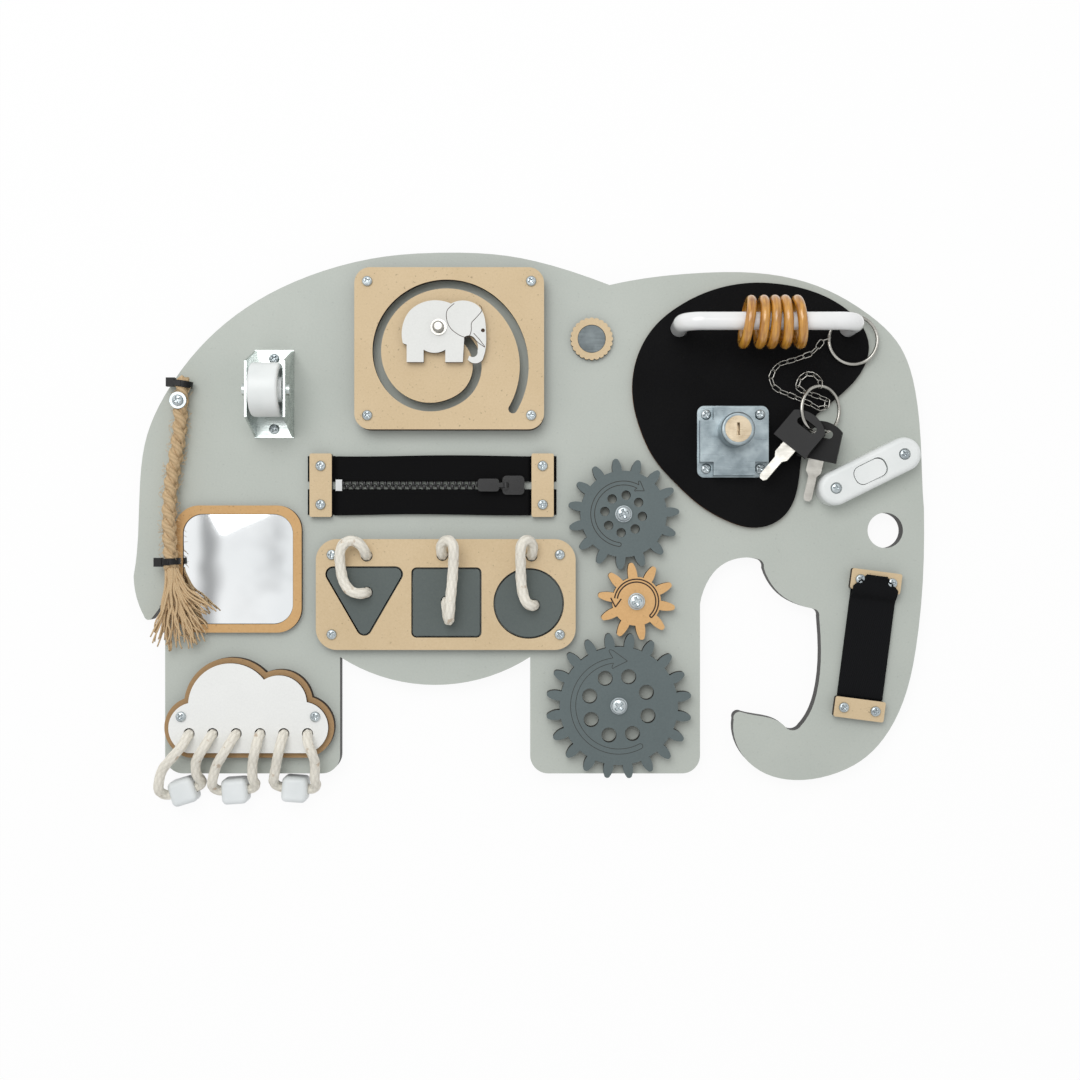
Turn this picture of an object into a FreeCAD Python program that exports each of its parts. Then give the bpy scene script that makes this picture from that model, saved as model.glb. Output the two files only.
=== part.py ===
import FreeCAD, Part
import os
from math import atan2, cos, degrees, hypot, pi, radians, sin, tan

# A child's busy board cut in the outline of an elephant, lying on its back.
# Millimetres, +X to the elephant's head, +Y to its back, +Z out of the front, z = 0 at the rear face.

os.makedirs("parts", exist_ok=True)
V = FreeCAD.Vector
UP = V(0, 0, 1)

# Board
board_thick = 10.0
leg_corner_r = 10.3
leg_left_x = (-207.5, 0.8)
leg_right_x = (-107.7, 97.7)
foot_y = -146.7
eye_hole = (203.4, -8.0)
eye_hole_dia = 20.2

# Ear board
ear_thick = 3.0

# Fit clearances
hole_clearance = 0.1
slide_clearance = 0.3
soft_clearance = 0.3

# Small pan head screws that hold the panels
screw_shank_dia = 3.0
screw_head_dia = 5.8
screw_head_high = 1.8
screw_bite = 6.0

# Spiral panel on its spacer frame
spiral_mid = (-44.8, 94.6)
spiral_size = (107.0, 91.4)
spiral_corner_r = 9.0
spiral_spacer_thick = 6.0
spiral_panel_thick = 4.0
spacer_wall = 5.0
spacer_inner_r = 22.0
spiral_screw_inset = (7.3, 7.9)
slot_wide = 5.0
slot_centre = (-50.5, 84.4)
slot_inner_r = 21.5
slot_outer_r = 48.0
slot_inner_turn = 150.0
slot_grow_turn = 400.0
slot_full_turn = 480.0
slot_step = 15.0

# Sliding elephant figure and its bolt
figure_thick = 3.0
bolt_dia = 4.4
bolt_head_dia = 7.0
bolt_head_high = 2.6
washer_dia = 9.0
washer_thick = 0.8
under_washer_dia = 11.0
nut_dia = 6.6
nut_high = 3.4
stack_gap = 0.1

# Magnet in its scalloped rosette
rosette_mid = (35.8, 100.9)
rosette_dia = 24.3
rosette_scallops = 24
rosette_scallop_r = 1.6
rosette_thick = 3.0
magnet_dia = 15.6
magnet_thick = 2.6

# Caster
caster_mid = (-145.0, 69.7)
caster_base = (22.4, 50.0)
caster_sheet = 1.2
caster_axle_high = 25.0
caster_flange_high = 30.0
caster_flange_top = 31.0
caster_screw_pitch = 40.0
wheel_dia = 30.0
wheel_wide = 16.4
wheel_hub_dia = 14.0
wheel_hub_wide = 18.6
wheel_dish = 1.6
axle_dia = 4.0
axle_head_dia = 6.6
axle_head_long = 2.0

# Zipper between its two clamps
zip_mid_y = 17.6
clamp_size = (12.6, 36.0)
clamp_left_x = -118.1
clamp_right_x = 7.9
clamp_thick = 4.0
clamp_corner_r = 1.0
clamp_screw_pitch = 22.0
tape_wide = 34.2
tape_thick = 0.6
tape_peek = 1.6
tape_lift = 2.0
tape_ramp = 3.2
tooth_pitch = 4.0
tooth_thick = 2.2
tooth_band = 5.0
tooth_overlap = 0.5
tooth_wide = 1.8
tooth_gap = 0.12
slider_left_x = -14.9
slider_long = 12.4
slider_wide = 10.8
slider_wall = 1.0
slider_front_r = 2.2
pull_long = 15.2
pull_wide = 7.2
pull_thick = 1.5
pull_eye_dia = 3.2
stop_left_x = -109.6
stop_size = (3.6, 6.4)
bail_dia = 1.4

# Shape sorter: the gaps are the wood left of, between and right of its three openings
sorter_left = -120.6
sorter_mid_y = -44.4
sorter_high = 62.8
sorter_gaps = (5.4, 4.7, 6.7, 6.6)
sorter_corner_r = 12.0
sorter_thick = 6.0
sorter_screw_inset = (9.0, 8.8)
shape_clearance = 1.0
triangle_mid_y = -43.0
triangle_wide = 44.0
triangle_corner_r = 4.5
square_mid_y = -48.9
square_side = 39.8
square_corner_r = 3.0
circle_mid_y = -49.4
circle_dia = 40.0
shape_cord_dia = 6.0

# Mirror and its frame
mirror_mid = (-165.1, -30.0)
mirror_frame_side = 72.2
mirror_frame_r = 14.0
mirror_frame_thick = 4.0
mirror_side = 62.0
mirror_r = 11.0
mirror_thick = 3.0

# Cloud
cloud_back_thick = 6.0
cloud_front_thick = 3.0
cloud_border = 3.0
cloud_hole_y = -122.8
cloud_hole_x = (-191.7, -178.4, -165.1, -151.6, -138.2, -124.8)
cloud_screw_x = (-196.2, -120.5)
cloud_screw_y = -113.2
loop_cord_dia = 5.7
cube_side = 14.6
cube_corner_r = 3.0
cubes = ((-197.2, -157.0, 17.0), (-167.6, -156.6, 4.0), (-133.4, -155.6, -4.0))
cube_bend = ((7.9, 0.0, 0.0), (11.0, 1.0, 0.9), (12.4, 3.6, 4.0), (11.4, 6.8, 8.8))

# Tail rope
tail_dia = 8.7
tie_wide = 3.6
tie_thick = 1.2
tail_screw_mid = (-197.5, 65.2)
tail_washer_dia = 9.4

# Gears
gear_module = 4.0
gear_small_teeth = 10
gear_medium_teeth = 15
gear_large_teeth = 20
gear_small_mid = (61.0, -48.2)
gear_line_angle = 80.4
gear_thick = 6.0
gear_lift = 1.0
gear_addendum = (1.5, 2.0, 1.3)
gear_depth = (7.0, 8.2, 7.8)
tooth_root_wide = 5.2
tooth_pitch_wide = 4.5
tooth_tip_wide = 2.6
gear_medium_holes = (8, 10.7, 5.3, 37.5)
gear_large_holes = (8, 17.4, 8.5, 26.3)
gear_screw_dia = 5.0
gear_head_dia = 8.4
gear_washer_dia = 9.6

# Pull handle with its five rings
handle_left_x = 85.6
handle_pitch = 96.0
handle_y = 107.0
handle_bar_dia = 10.0
handle_bar_high = 30.0
handle_bend_r = 10.0
handle_screw_dia = 4.0
handle_screw_head_dia = 8.0
ring_outer_dia = 30.0
ring_inner_dia = 19.0
ring_tube_dia = 5.5
ring_rest_x = (120.9, 128.9, 135.2, 141.8, 149.4)
ring_turn = (-9.0, -4.0, -3.0, 2.0, 6.0)

# Key ring, chain and keys
split_ring_band_dia = 1.9
large_ring_dia = 29.4
large_ring_mid = (184.0, 99.9, 14.9)
small_ring_dia = 28.6
small_ring_mid = (164.4, 59.9, 20.6)
small_ring_tilt = 28.0
link_wire_dia = 0.6
link_long = 6.2
link_wide = 3.7
link_count = 27
link_twist = 45.0
link_twist_end = 12.0
link_twist_over = 4
key_head = (22.4, 18.6)
key_head_thick = 3.4
key_head_bulge = 3.4
key_slot = (12.6, 4.6)
key_slot_in = 3.4
key_blade_wide = 8.6
key_blade_tip_wide = 4.8
key_blade_long = 24.0
key_blade_shoulder = 7.0
key_blade_thick = 2.0

# Drawer lock
lock_mid = (115.9, 42.3)
lock_side = 40.6
lock_corner_r = 4.0
lock_plate_thick = 1.4
lock_body_high = 7.6
lock_body_inset = 1.0
lock_pocket = 8.6
lock_screw_pitch = 30.6
lock_cylinder_up = 5.6
lock_cylinder_dia = 18.8
lock_cylinder_high = 24.0
lock_plug_dia = 14.6
lock_plug_proud = 0.3
lock_bolt = (16.0, 23.4, 3.6)
lock_bolt_floor = 0.6
lock_bolt_travel = 8.0
crank_dia = 2.4
crank_slack = 1.0
keyhole = (1.6, 7.0, 6.0)

# Rocker switch
switch_mid = (192.1, 25.2)
switch_turn = 26.4
switch_end_pitch = 43.0
switch_wide = 19.2
switch_high = 13.0
switch_edge_r = 3.0
rocker_long = 18.0
rocker_wide = 10.4
rocker_deep = 7.0
rocker_tilt = 8.0
rocker_proud = 1.6
rocker_pin_dia = 2.0

# Hook and loop strap
strap_turn = -7.4
strap_upper_mid = (197.0, -36.9)
strap_bar_pitch = 73.2
strap_bar = (28.7, 11.6)
strap_bar_thick = 4.0
strap_bar_r = 1.2
strap_wide = 25.4
strap_thick = 1.4
strap_end_over = 3.2
strap_end_half = 5.4
strap_screw_pitch = 18.0

face = board_thick
ear_top = face + ear_thick


def save(name, solids):
    """Write one node from its list of solids."""
    shape = solids[0] if len(solids) == 1 else Part.makeCompound(solids)
    shape.exportStep("parts/" + name + ".step")


def cylinder(x, y, z, dia, high):
    return Part.makeCylinder(dia / 2, high, V(x, y, z))


def extrude(wire, z, thick):
    solid = Part.Face(wire).extrude(V(0, 0, thick))
    return solid.translated(V(0, 0, z))


def outline(parts):
    """Closed wire from line, arc and curve stretches, each starting where the last one ended."""
    edges = []
    start = parts[-1][-1]
    for kind, *points in parts:
        at = [V(start[0], start[1], 0)] + [V(p[0], p[1], 0) for p in points]
        if kind == "line":
            edges += [Part.makeLine(a, b) for a, b in zip(at, at[1:])]
        elif kind == "arc":
            edges.append(Part.Arc(at[0], at[1], at[2]).toShape())
        else:
            spline = Part.BSplineCurve()
            spline.interpolate(at)
            edges.append(spline.toShape())
        start = points[-1]
    return Part.Wire(edges)


def rounded(mid, wide, high, r):
    """Rounded rectangle about its middle."""
    x0, x1 = mid[0] - wide / 2, mid[0] + wide / 2
    y0, y1 = mid[1] - high / 2, mid[1] + high / 2
    k = r * (1 - cos(pi / 4))
    return outline([
        ("line", (x1 - r, y0)), ("arc", (x1 - k, y0 + k), (x1, y0 + r)),
        ("line", (x1, y1 - r)), ("arc", (x1 - k, y1 - k), (x1 - r, y1)),
        ("line", (x0 + r, y1)), ("arc", (x0 + k, y1 - k), (x0, y1 - r)),
        ("line", (x0, y0 + r)), ("arc", (x0 + k, y0 + k), (x0 + r, y0)),
    ])


def fillet_top(solid, z, r):
    """Round the edges that lie wholly at one height."""
    edges = [e for e in solid.Edges if abs(e.BoundBox.ZMin - z) < 1e-6 and abs(e.BoundBox.ZMax - z) < 1e-6]
    return solid.makeFillet(r, edges)


def corners_of(mid, pitch):
    return [(mid[0] + a * pitch[0] / 2, mid[1] + b * pitch[1] / 2) for a in (-1, 1) for b in (-1, 1)]


def turned(point, mid, angle):
    """A point of a local frame, turned and moved to its place."""
    c, s = cos(radians(angle)), sin(radians(angle))
    return (mid[0] + c * point[0] - s * point[1], mid[1] + s * point[0] + c * point[1])


def pan_screw(x, y, z, shank_dia, head_dia, head_high, bite):
    """Pan head screw with its head seated at z."""
    r, h = head_dia / 2, head_high
    profile = Part.Wire([
        Part.makeLine(V(0, 0, -bite), V(shank_dia / 2, 0, -bite)),
        Part.makeLine(V(shank_dia / 2, 0, -bite), V(shank_dia / 2, 0, 0)),
        Part.makeLine(V(shank_dia / 2, 0, 0), V(r, 0, 0)),
        Part.makeLine(V(r, 0, 0), V(r, 0, h * 0.35)),
        Part.Arc(V(r, 0, h * 0.35), V(r * 0.8, 0, h * 0.8), V(r * 0.45, 0, h)).toShape(),
        Part.makeLine(V(r * 0.45, 0, h), V(0, 0, h)),
        Part.makeLine(V(0, 0, h), V(0, 0, -bite)),
    ])
    return Part.Face(profile).revolve(V(0, 0, 0), UP, 360).translated(V(x, y, z))


def tube(points, dia):
    """Cord tube: straight runs joined by tangent arcs, and a print of its radii and volume."""
    at = [V(*p) for p in points]
    edges, last, length, radii = [], at[0], 0, []
    for a, b, c in zip(at, at[1:], at[2:]):
        along, out = (b - a).normalize(), (c - b).normalize()
        half = along.getAngle(out) / 2
        cut = 0.45 * min((b - a).Length, (c - b).Length)
        r = cut / tan(half)
        enter, leave = b - along * cut, b + out * cut
        centre = b + (out - along).normalize() * (r / cos(half))
        middle = centre + (b - centre).normalize() * r
        edges += [Part.makeLine(last, enter), Part.Arc(enter, middle, leave).toShape()]
        length += (enter - last).Length + 2 * half * r
        last = leave
        radii.append(r)
    edges.append(Part.makeLine(last, at[-1]))
    length += (at[-1] - last).Length
    ring = Part.Wire(Part.makeCircle(dia / 2, at[0], at[1] - at[0]))
    solid = Part.Wire(edges).makePipeShell([ring], True, False)
    share = solid.Volume / (length * pi * dia * dia / 4)
    print("tube", round(length, 1), "long, radii", [round(r, 1) for r in radii], "volume share", round(share, 4))
    return solid


# Board outline: back, tail stub, hind leg, belly, front leg, trunk and head
def board_wire():
    k = leg_corner_r * (1 - cos(pi / 4))
    parts = [
        ("curve", (22.4, 140.4), (-12.0, 148.6), (-47.2, 150.5), (-84.0, 148.0), (-121.0, 138.8), (-157.0, 121.8),
         (-186.4, 97.8), (-206.2, 71.6), (-217.8, 46.4), (-221.9, 18.0), (-222.9, -10.0), (-225.5, -34.0)),
        ("curve", (-223.6, -47.0), (-219.4, -57.2)),
        ("arc", (-217.6, -59.0), (-215.4, -58.5)),
        ("line", (-210.6, -52.2)),
        ("arc", (-208.4, -50.2), (leg_left_x[0], -52.6)),
    ]
    for side, (x0, x1) in enumerate(zip(leg_left_x, leg_right_x)):
        parts += [
            ("line", (x0, foot_y + leg_corner_r)), ("arc", (x0 + k, foot_y + k), (x0 + leg_corner_r, foot_y)),
            ("line", (x1 - leg_corner_r, foot_y)), ("arc", (x1 - k, foot_y + k), (x1, foot_y + leg_corner_r)),
        ]
        if side == 0:
            parts += [("line", (x1, -80.2)), ("arc", (-53.4, -96.2), (leg_left_x[1], -80.2))]
    parts += [
        ("line", (leg_right_x[1], -50.0)),
        ("curve", (101.4, -38.4), (109.4, -28.3), (121.0, -23.7), (131.0, -24.4)),
        ("arc", (133.4, -26.0), (134.1, -29.4)),
        ("curve", (138.5, -38.7), (144.6, -45.3), (152.5, -49.8), (163.2, -52.9)),
        ("arc", (164.9, -54.0), (165.7, -57.0)),
        ("curve", (166.7, -73.0), (165.0, -97.6), (160.6, -111.8), (155.4, -119.4)),
        ("arc", (151.6, -122.0), (147.2, -121.0)),
        ("curve", (137.4, -115.0), (128.6, -113.4), (121.0, -111.6)),
        ("arc", (118.2, -112.2), (116.9, -116.0)),
        ("curve", (117.2, -125.6), (122.6, -137.0), (134.6, -146.6), (152.0, -150.5), (173.5, -147.2),
         (192.1, -137.6), (206.2, -121.2), (215.5, -100.2), (221.4, -72.0), (225.2, -30.0), (225.5, 4.0)),
        ("curve", (223.9, 38.0), (221.0, 69.0), (211.6, 97.4), (192.0, 116.6), (163.8, 131.8), (131.9, 138.7),
         (96.0, 138.8), (63.4, 135.4), (46.1, 132.0)),
    ]
    return outline(parts)


panel_points = []


def hold(points, top, bite_from=face):
    """Note small screws whose heads seat at top and bite into the board."""
    for x, y in points:
        panel_points.append((x, y, top, top - bite_from + screw_bite))


board = extrude(board_wire(), 0, board_thick)
board = board.cut(cylinder(*eye_hole, -1, eye_hole_dia, board_thick + 2))

# Ear
ear_wire = outline([
    ("curve", (158.6, 128.8), (176.6, 120.6), (189.2, 108.8), (193.4, 96.6), (190.4, 84.4), (180.6, 72.0), (164.0, 58.1)),
    ("curve", (157.0, 44.0), (154.4, 28.0), (152.8, 16.0), (146.6, 1.8), (137.0, -5.0), (125.6, -6.4), (112.0, -2.2),
     (98.0, 5.8), (84.0, 18.4), (72.0, 32.0), (63.6, 49.0), (59.1, 68.0), (60.4, 86.0), (70.0, 106.1), (86.8, 120.4),
     (109.0, 130.0), (134.2, 132.8)),
])
ear = extrude(ear_wire, face, ear_thick)


# Spiral panel: a slot that keeps to a circle, winds outwards and ends on a larger circle
def slot_radius(turn):
    """Radius of the slot's middle line, by degrees turned clockwise from its inner end."""
    if turn <= slot_inner_turn:
        return slot_inner_r
    if turn >= slot_grow_turn:
        return slot_outer_r
    share = (turn - slot_inner_turn) / (slot_grow_turn - slot_inner_turn)
    eased = share * share * (3 - 2 * share)
    return slot_inner_r + (slot_outer_r - slot_inner_r) * eased


def slot_point(turn, aside):
    a = radians(90 - turn)
    r = slot_radius(turn) + aside
    return (slot_centre[0] + r * cos(a), slot_centre[1] + r * sin(a))


def slot_wire():
    half = slot_wide / 2
    turns = [slot_step * n for n in range(round(slot_full_turn / slot_step) + 1)]
    outer = [slot_point(t, half) for t in turns]
    inner = [slot_point(t, -half) for t in reversed(turns)]
    way = degrees(half / slot_outer_r)
    back = degrees(half / slot_inner_r)
    return outline([
        ("curve", *outer[1:]),
        ("arc", slot_point(slot_full_turn + way, 0), inner[0]),
        ("curve", *inner[1:]),
        ("arc", slot_point(-back, 0), outer[0]),
    ])


spiral_base = face + spiral_spacer_thick
spiral_top = spiral_base + spiral_panel_thick
spacer = extrude(rounded(spiral_mid, *spiral_size, spiral_corner_r), face, spiral_spacer_thick)
spacer = spacer.cut(extrude(rounded(spiral_mid, spiral_size[0] - 2 * spacer_wall, spiral_size[1] - 2 * spacer_wall,
                                    spacer_inner_r), face - 1, spiral_spacer_thick + 2))
spiral = extrude(rounded(spiral_mid, *spiral_size, spiral_corner_r), spiral_base, spiral_panel_thick)
spiral = spiral.cut(extrude(slot_wire(), spiral_base - 1, spiral_panel_thick + 2))
spiral_screw_pitch = [size - 2 * inset for size, inset in zip(spiral_size, spiral_screw_inset)]
hold(corners_of(spiral_mid, spiral_screw_pitch), spiral_top)

# Figure on its bolt, at the slot's inner end
knob = (slot_centre[0], slot_centre[1] + slot_inner_r)
figure_base = spiral_top + 2 * stack_gap + washer_thick
figure_wire = outline([
    ("line", (-17.9, -19.6)), ("line", (-17.9, -9.8)), ("line", (-20.0, -9.0)),
    ("curve", (-19.9, 2.0), (-16.0, 9.3), (-8.8, 13.9), (-1.2, 15.1), (7.0, 13.2)),
    ("curve", (11.4, 14.8), (17.2, 14.5), (22.6, 11.6), (25.6, 6.2), (26.6, -2.0), (26.4, -12.0), (24.6, -18.4)),
    ("arc", (21.0, -20.3), (16.4, -18.2)),
    ("line", (17.2, -15.9)),
    ("arc", (20.2, -16.6), (21.8, -13.2)),
    ("curve", (21.4, -8.0), (18.6, -5.0), (14.4, -5.6)),
    ("line", (13.6, -19.6)), ("line", (3.8, -19.6)), ("line", (3.8, -12.6)),
    ("arc", (-2.4, -14.4), (-8.4, -12.6)),
    ("line", (-8.4, -19.6)),
])
figure = extrude(figure_wire, figure_base, figure_thick).translated(V(knob[0], knob[1], 0))
figure = figure.cut(cylinder(*knob, figure_base - 1, bolt_dia + 2 * hole_clearance, figure_thick + 2))
under_top = spiral_base - slide_clearance
nut_base = figure_base + figure_thick + stack_gap + washer_thick
shank_from = under_top - washer_thick - bolt_head_high
bolt = cylinder(*knob, shank_from, bolt_dia, nut_base + nut_high * 0.4 - shank_from)
bolt = bolt.fuse(cylinder(*knob, shank_from, bolt_head_dia, bolt_head_high))


def washer(mid, z, dia, bore, thick):
    return cylinder(*mid, z, dia, thick).cut(cylinder(*mid, z - 1, bore, thick + 2))


washers = [
    washer(knob, under_top - washer_thick, under_washer_dia, bolt_dia, washer_thick),
    washer(knob, spiral_top + stack_gap, washer_dia, bolt_dia, washer_thick),
    washer(knob, nut_base - washer_thick, washer_dia, bolt_dia, washer_thick),
]
nut = cylinder(*knob, nut_base, nut_dia, nut_high)
nut = fillet_top(nut, nut_base + nut_high, 1.4).cut(cylinder(*knob, nut_base - 1, bolt_dia, 1 + nut_high * 0.4))

# Rosette: a ring of scallops about the magnet
scallop_ring = rosette_dia / 2 - rosette_scallop_r
rosette = cylinder(*rosette_mid, face, 2 * scallop_ring + 0.8, rosette_thick)
for n in range(rosette_scallops):
    a = 2 * pi * n / rosette_scallops
    at = (rosette_mid[0] + scallop_ring * cos(a), rosette_mid[1] + scallop_ring * sin(a))
    rosette = rosette.fuse(cylinder(*at, face, 2 * rosette_scallop_r, rosette_thick))
rosette = rosette.removeSplitter()
rosette = rosette.cut(cylinder(*rosette_mid, face - 1, magnet_dia + 4 * hole_clearance, rosette_thick + 2))
magnet = cylinder(*rosette_mid, face, magnet_dia, magnet_thick)

# Caster: channel bracket, fixed axle and free wheel
half_base = caster_base[0] / 2
axle_z = face + caster_axle_high
bracket = Part.makeBox(caster_base[0], caster_base[1], caster_sheet,
                       V(caster_mid[0] - half_base, caster_mid[1] - caster_base[1] / 2, face))
for side in (-1, 1):
    x = caster_mid[0] + side * half_base - (caster_sheet if side > 0 else 0)
    low, high = caster_base[1] / 2, caster_flange_top / 2
    y, top = caster_mid[1], face + caster_flange_high
    corners = [V(x, y - low, face), V(x, y + low, face), V(x, y + high, top), V(x, y - high, top), V(x, y - low, face)]
    bracket = bracket.fuse(Part.Face(Part.makePolygon(corners)).extrude(V(caster_sheet, 0, 0)))
bracket = bracket.removeSplitter()
axle_long = caster_base[0] + 2 * axle_head_long
axle_from = V(caster_mid[0] - axle_long / 2, caster_mid[1], axle_z)
X = V(1, 0, 0)
bracket = bracket.cut(Part.makeCylinder(axle_dia / 2, axle_long, axle_from, X))
axle = Part.makeCylinder(axle_dia / 2, axle_long, axle_from, X)
for x in (axle_from.x, axle_from.x + axle_long - axle_head_long):
    axle = axle.fuse(Part.makeCylinder(axle_head_dia / 2, axle_head_long, V(x, axle_from.y, axle_z), X))


def along_x(mid, z, dia, long):
    return Part.makeCylinder(dia / 2, long, V(mid[0] - long / 2, mid[1], z), X)


wheel = along_x(caster_mid, axle_z, wheel_dia, wheel_wide)
wheel = wheel.makeFillet(1.6, [e for e in wheel.Edges if abs(e.Length - pi * wheel_dia) < 0.1])
dish = along_x(caster_mid, axle_z, wheel_dia - 6, wheel_wide + 2)
dish = dish.cut(along_x(caster_mid, axle_z, wheel_dia - 4, wheel_wide - 2 * wheel_dish))
wheel = wheel.cut(dish).fuse(along_x(caster_mid, axle_z, wheel_hub_dia, wheel_hub_wide))
wheel = wheel.cut(along_x(caster_mid, axle_z, axle_dia + 2 * 0.05, wheel_hub_wide + 4))
hold([(caster_mid[0], caster_mid[1] + s * caster_screw_pitch / 2) for s in (-1, 1)], face + caster_sheet)

# Zipper: two tapes with their teeth, held down by a clamp at each end
clamp_base = face + tape_thick
clamps = []
for x in (clamp_left_x, clamp_right_x):
    clamps.append(extrude(rounded((x, zip_mid_y), *clamp_size, clamp_corner_r), clamp_base, clamp_thick))
    hold([(x, zip_mid_y + s * clamp_screw_pitch / 2) for s in (-1, 1)], clamp_base + clamp_thick)
tape_ends = (clamp_left_x - clamp_size[0] / 2 - tape_peek, clamp_right_x + clamp_size[0] / 2 + tape_peek)
tape_flat = (clamp_left_x + clamp_size[0] / 2 + 0.4, clamp_right_x - clamp_size[0] / 2 - 0.2)
tape_low = face + tape_lift
teeth_low = tape_low + tape_thick / 2 - tooth_thick / 2
post_x = slider_left_x + slider_long - slider_front_r
teeth_from, teeth_to = stop_left_x + 2.0, post_x - slider_front_r - 0.4


def tape(side):
    """Half of the zipper: the tape's long profile, drawn across its width, with its comb of teeth."""
    inner, outer = tooth_band / 2 - 0.6, tape_wide / 2
    xs = [tape_ends[0], tape_flat[0], tape_flat[0] + tape_ramp, tape_flat[1] - tape_ramp * 0.5, tape_flat[1],
          tape_ends[1]]
    lows = [face, face, tape_low, tape_low, face, face]
    line = [V(x, 0, z) for x, z in zip(xs, lows)] + [V(x, 0, z + tape_thick) for x, z in reversed([*zip(xs, lows)])]
    cloth = Part.Face(Part.makePolygon(line + line[:1])).extrude(V(0, outer - inner, 0))
    cloth = cloth.translated(V(0, inner, 0))
    shift = 0 if side > 0 else tooth_pitch / 2
    count = int((teeth_to - teeth_from - shift) / tooth_pitch)
    comb = [V(teeth_from, tooth_band / 2, 0)]
    for n in range(count):
        x = teeth_from + shift + n * tooth_pitch
        comb += [V(x, tooth_overlap + tooth_gap, 0), V(x, -tooth_overlap, 0), V(x + tooth_wide, -tooth_overlap, 0),
                 V(x + tooth_wide, tooth_overlap + tooth_gap, 0)]
        if n == 0:
            comb[1:1] = [V(teeth_from, tooth_overlap + tooth_gap, 0)] if shift else []
    comb += [V(teeth_to, tooth_overlap + tooth_gap, 0), V(teeth_to, tooth_band / 2, 0), comb[0]]
    teeth = Part.Face(Part.makePolygon(comb)).extrude(V(0, 0, tooth_thick)).translated(V(0, 0, teeth_low))
    half = cloth.fuse(teeth).removeSplitter()
    if side < 0:
        half = half.mirror(V(0, 0, 0), V(0, 1, 0))
    return half.translated(V(0, zip_mid_y, 0))


tapes = {1: tape(1), -1: tape(-1)}
stop = Part.makeBox(stop_size[0], stop_size[1], 1.0,
                    V(stop_left_x, zip_mid_y - stop_size[1] / 2, teeth_low + tooth_thick))

# Slider: a top and a bottom plate with side lips, joined by a post ahead of the closed teeth
lip_in = tooth_band / 2 + slide_clearance
plate_gap = slide_clearance - 0.1
slider_low = teeth_low - plate_gap - slider_wall
slider_top = teeth_low + tooth_thick + plate_gap
slider_mid = (slider_left_x + slider_long / 2, zip_mid_y)
top_plate = extrude(rounded(slider_mid, slider_long, slider_wide, 2.4), slider_top, slider_wall)
low_plate = extrude(rounded(slider_mid, slider_long, slider_wide, 2.4), slider_low, slider_wall)
slider = top_plate.fuse(low_plate)
lip_wide = slider_wide / 2 - lip_in
for side in (-1, 1):
    y = zip_mid_y + (lip_in if side > 0 else -slider_wide / 2)
    over = Part.makeBox(slider_long - 6, lip_wide, slider_top - tape_low - tape_thick - plate_gap,
                        V(slider_left_x + 3, y, tape_low + tape_thick + plate_gap))
    under = Part.makeBox(slider_long - 6, lip_wide, tape_low - plate_gap - slider_low - slider_wall,
                         V(slider_left_x + 3, y, slider_low + slider_wall))
    slider = slider.fuse(over).fuse(under)
post = cylinder(post_x, zip_mid_y, slider_low, 3.0, slider_top - slider_low + slider_wall)
bail_x = slider_left_x + 1.9
bail_z = slider_top + slider_wall + pull_eye_dia / 2
bail = Part.makeCylinder(bail_dia / 2, 4.0, V(bail_x, zip_mid_y - 2.0, bail_z), V(0, 1, 0))
cheeks = [Part.makeBox(2.2, 1.0, bail_z - slider_top + 0.7, V(bail_x - 1.1, zip_mid_y + y, slider_top))
          for y in (-2.6, 1.6)]
slider = slider.fuse([post, bail] + cheeks).removeSplitter()

# Pull tab: an eye on the bail that widens into a ribbed tab
eye_half = 1.6 - slide_clearance
tab_z = bail_z - pull_thick / 2
tab = extrude(rounded((bail_x - pull_long / 2 - 2.2, zip_mid_y), pull_long - 3.2, pull_wide, 1.6), tab_z, pull_thick)
neck = Part.makeBox(4.4, 2 * eye_half, pull_thick, V(bail_x - 4.4, zip_mid_y - eye_half, tab_z))
eye = Part.makeCylinder(bail_dia / 2 + 0.9, 2 * eye_half, V(bail_x, zip_mid_y - eye_half, bail_z), V(0, 1, 0))
bore = Part.makeCylinder(bail_dia / 2 + 0.05, 4, V(bail_x, zip_mid_y - 2, bail_z), V(0, 1, 0))
pull = tab.fuse([neck, eye]).removeSplitter().cut(bore)


# Shape sorter
def triangle(mid, wide, r):
    """Rounded equilateral triangle that points down."""
    reach = (wide - 2 * r) / 3 ** 0.5
    corners = [(mid[0] + reach * cos(radians(a)), mid[1] + reach * sin(radians(a))) for a in (150, 270, 30)]
    parts = []
    for (x, y), a in zip(corners, (150, 270, 30)):
        p = [(x + r * cos(radians(a + d)), y + r * sin(radians(a + d))) for d in (-60, 0, 60)]
        parts += [("line", p[0]), ("arc", p[1], p[2])]
    return outline(parts)


sorter_size = (sum(sorter_gaps) + triangle_wide + square_side + circle_dia, sorter_high)
sorter_mid = (sorter_left + sorter_size[0] / 2, sorter_mid_y)
triangle_mid = (sorter_left + sorter_gaps[0] + triangle_wide / 2, triangle_mid_y)
square_mid = (triangle_mid[0] + triangle_wide / 2 + sorter_gaps[1] + square_side / 2, square_mid_y)
circle_mid = (square_mid[0] + square_side / 2 + sorter_gaps[2] + circle_dia / 2, circle_mid_y)


def shape_wires(grow):
    """The three shapes' outlines, grown by a clearance."""
    return {
        "triangle": triangle(triangle_mid, triangle_wide + 2 * grow, triangle_corner_r + grow),
        "square": rounded(square_mid, square_side + 2 * grow, square_side + 2 * grow, square_corner_r + grow),
        "circle": Part.Wire(Part.makeCircle(circle_dia / 2 + grow, V(*circle_mid, 0))),
    }


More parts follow.
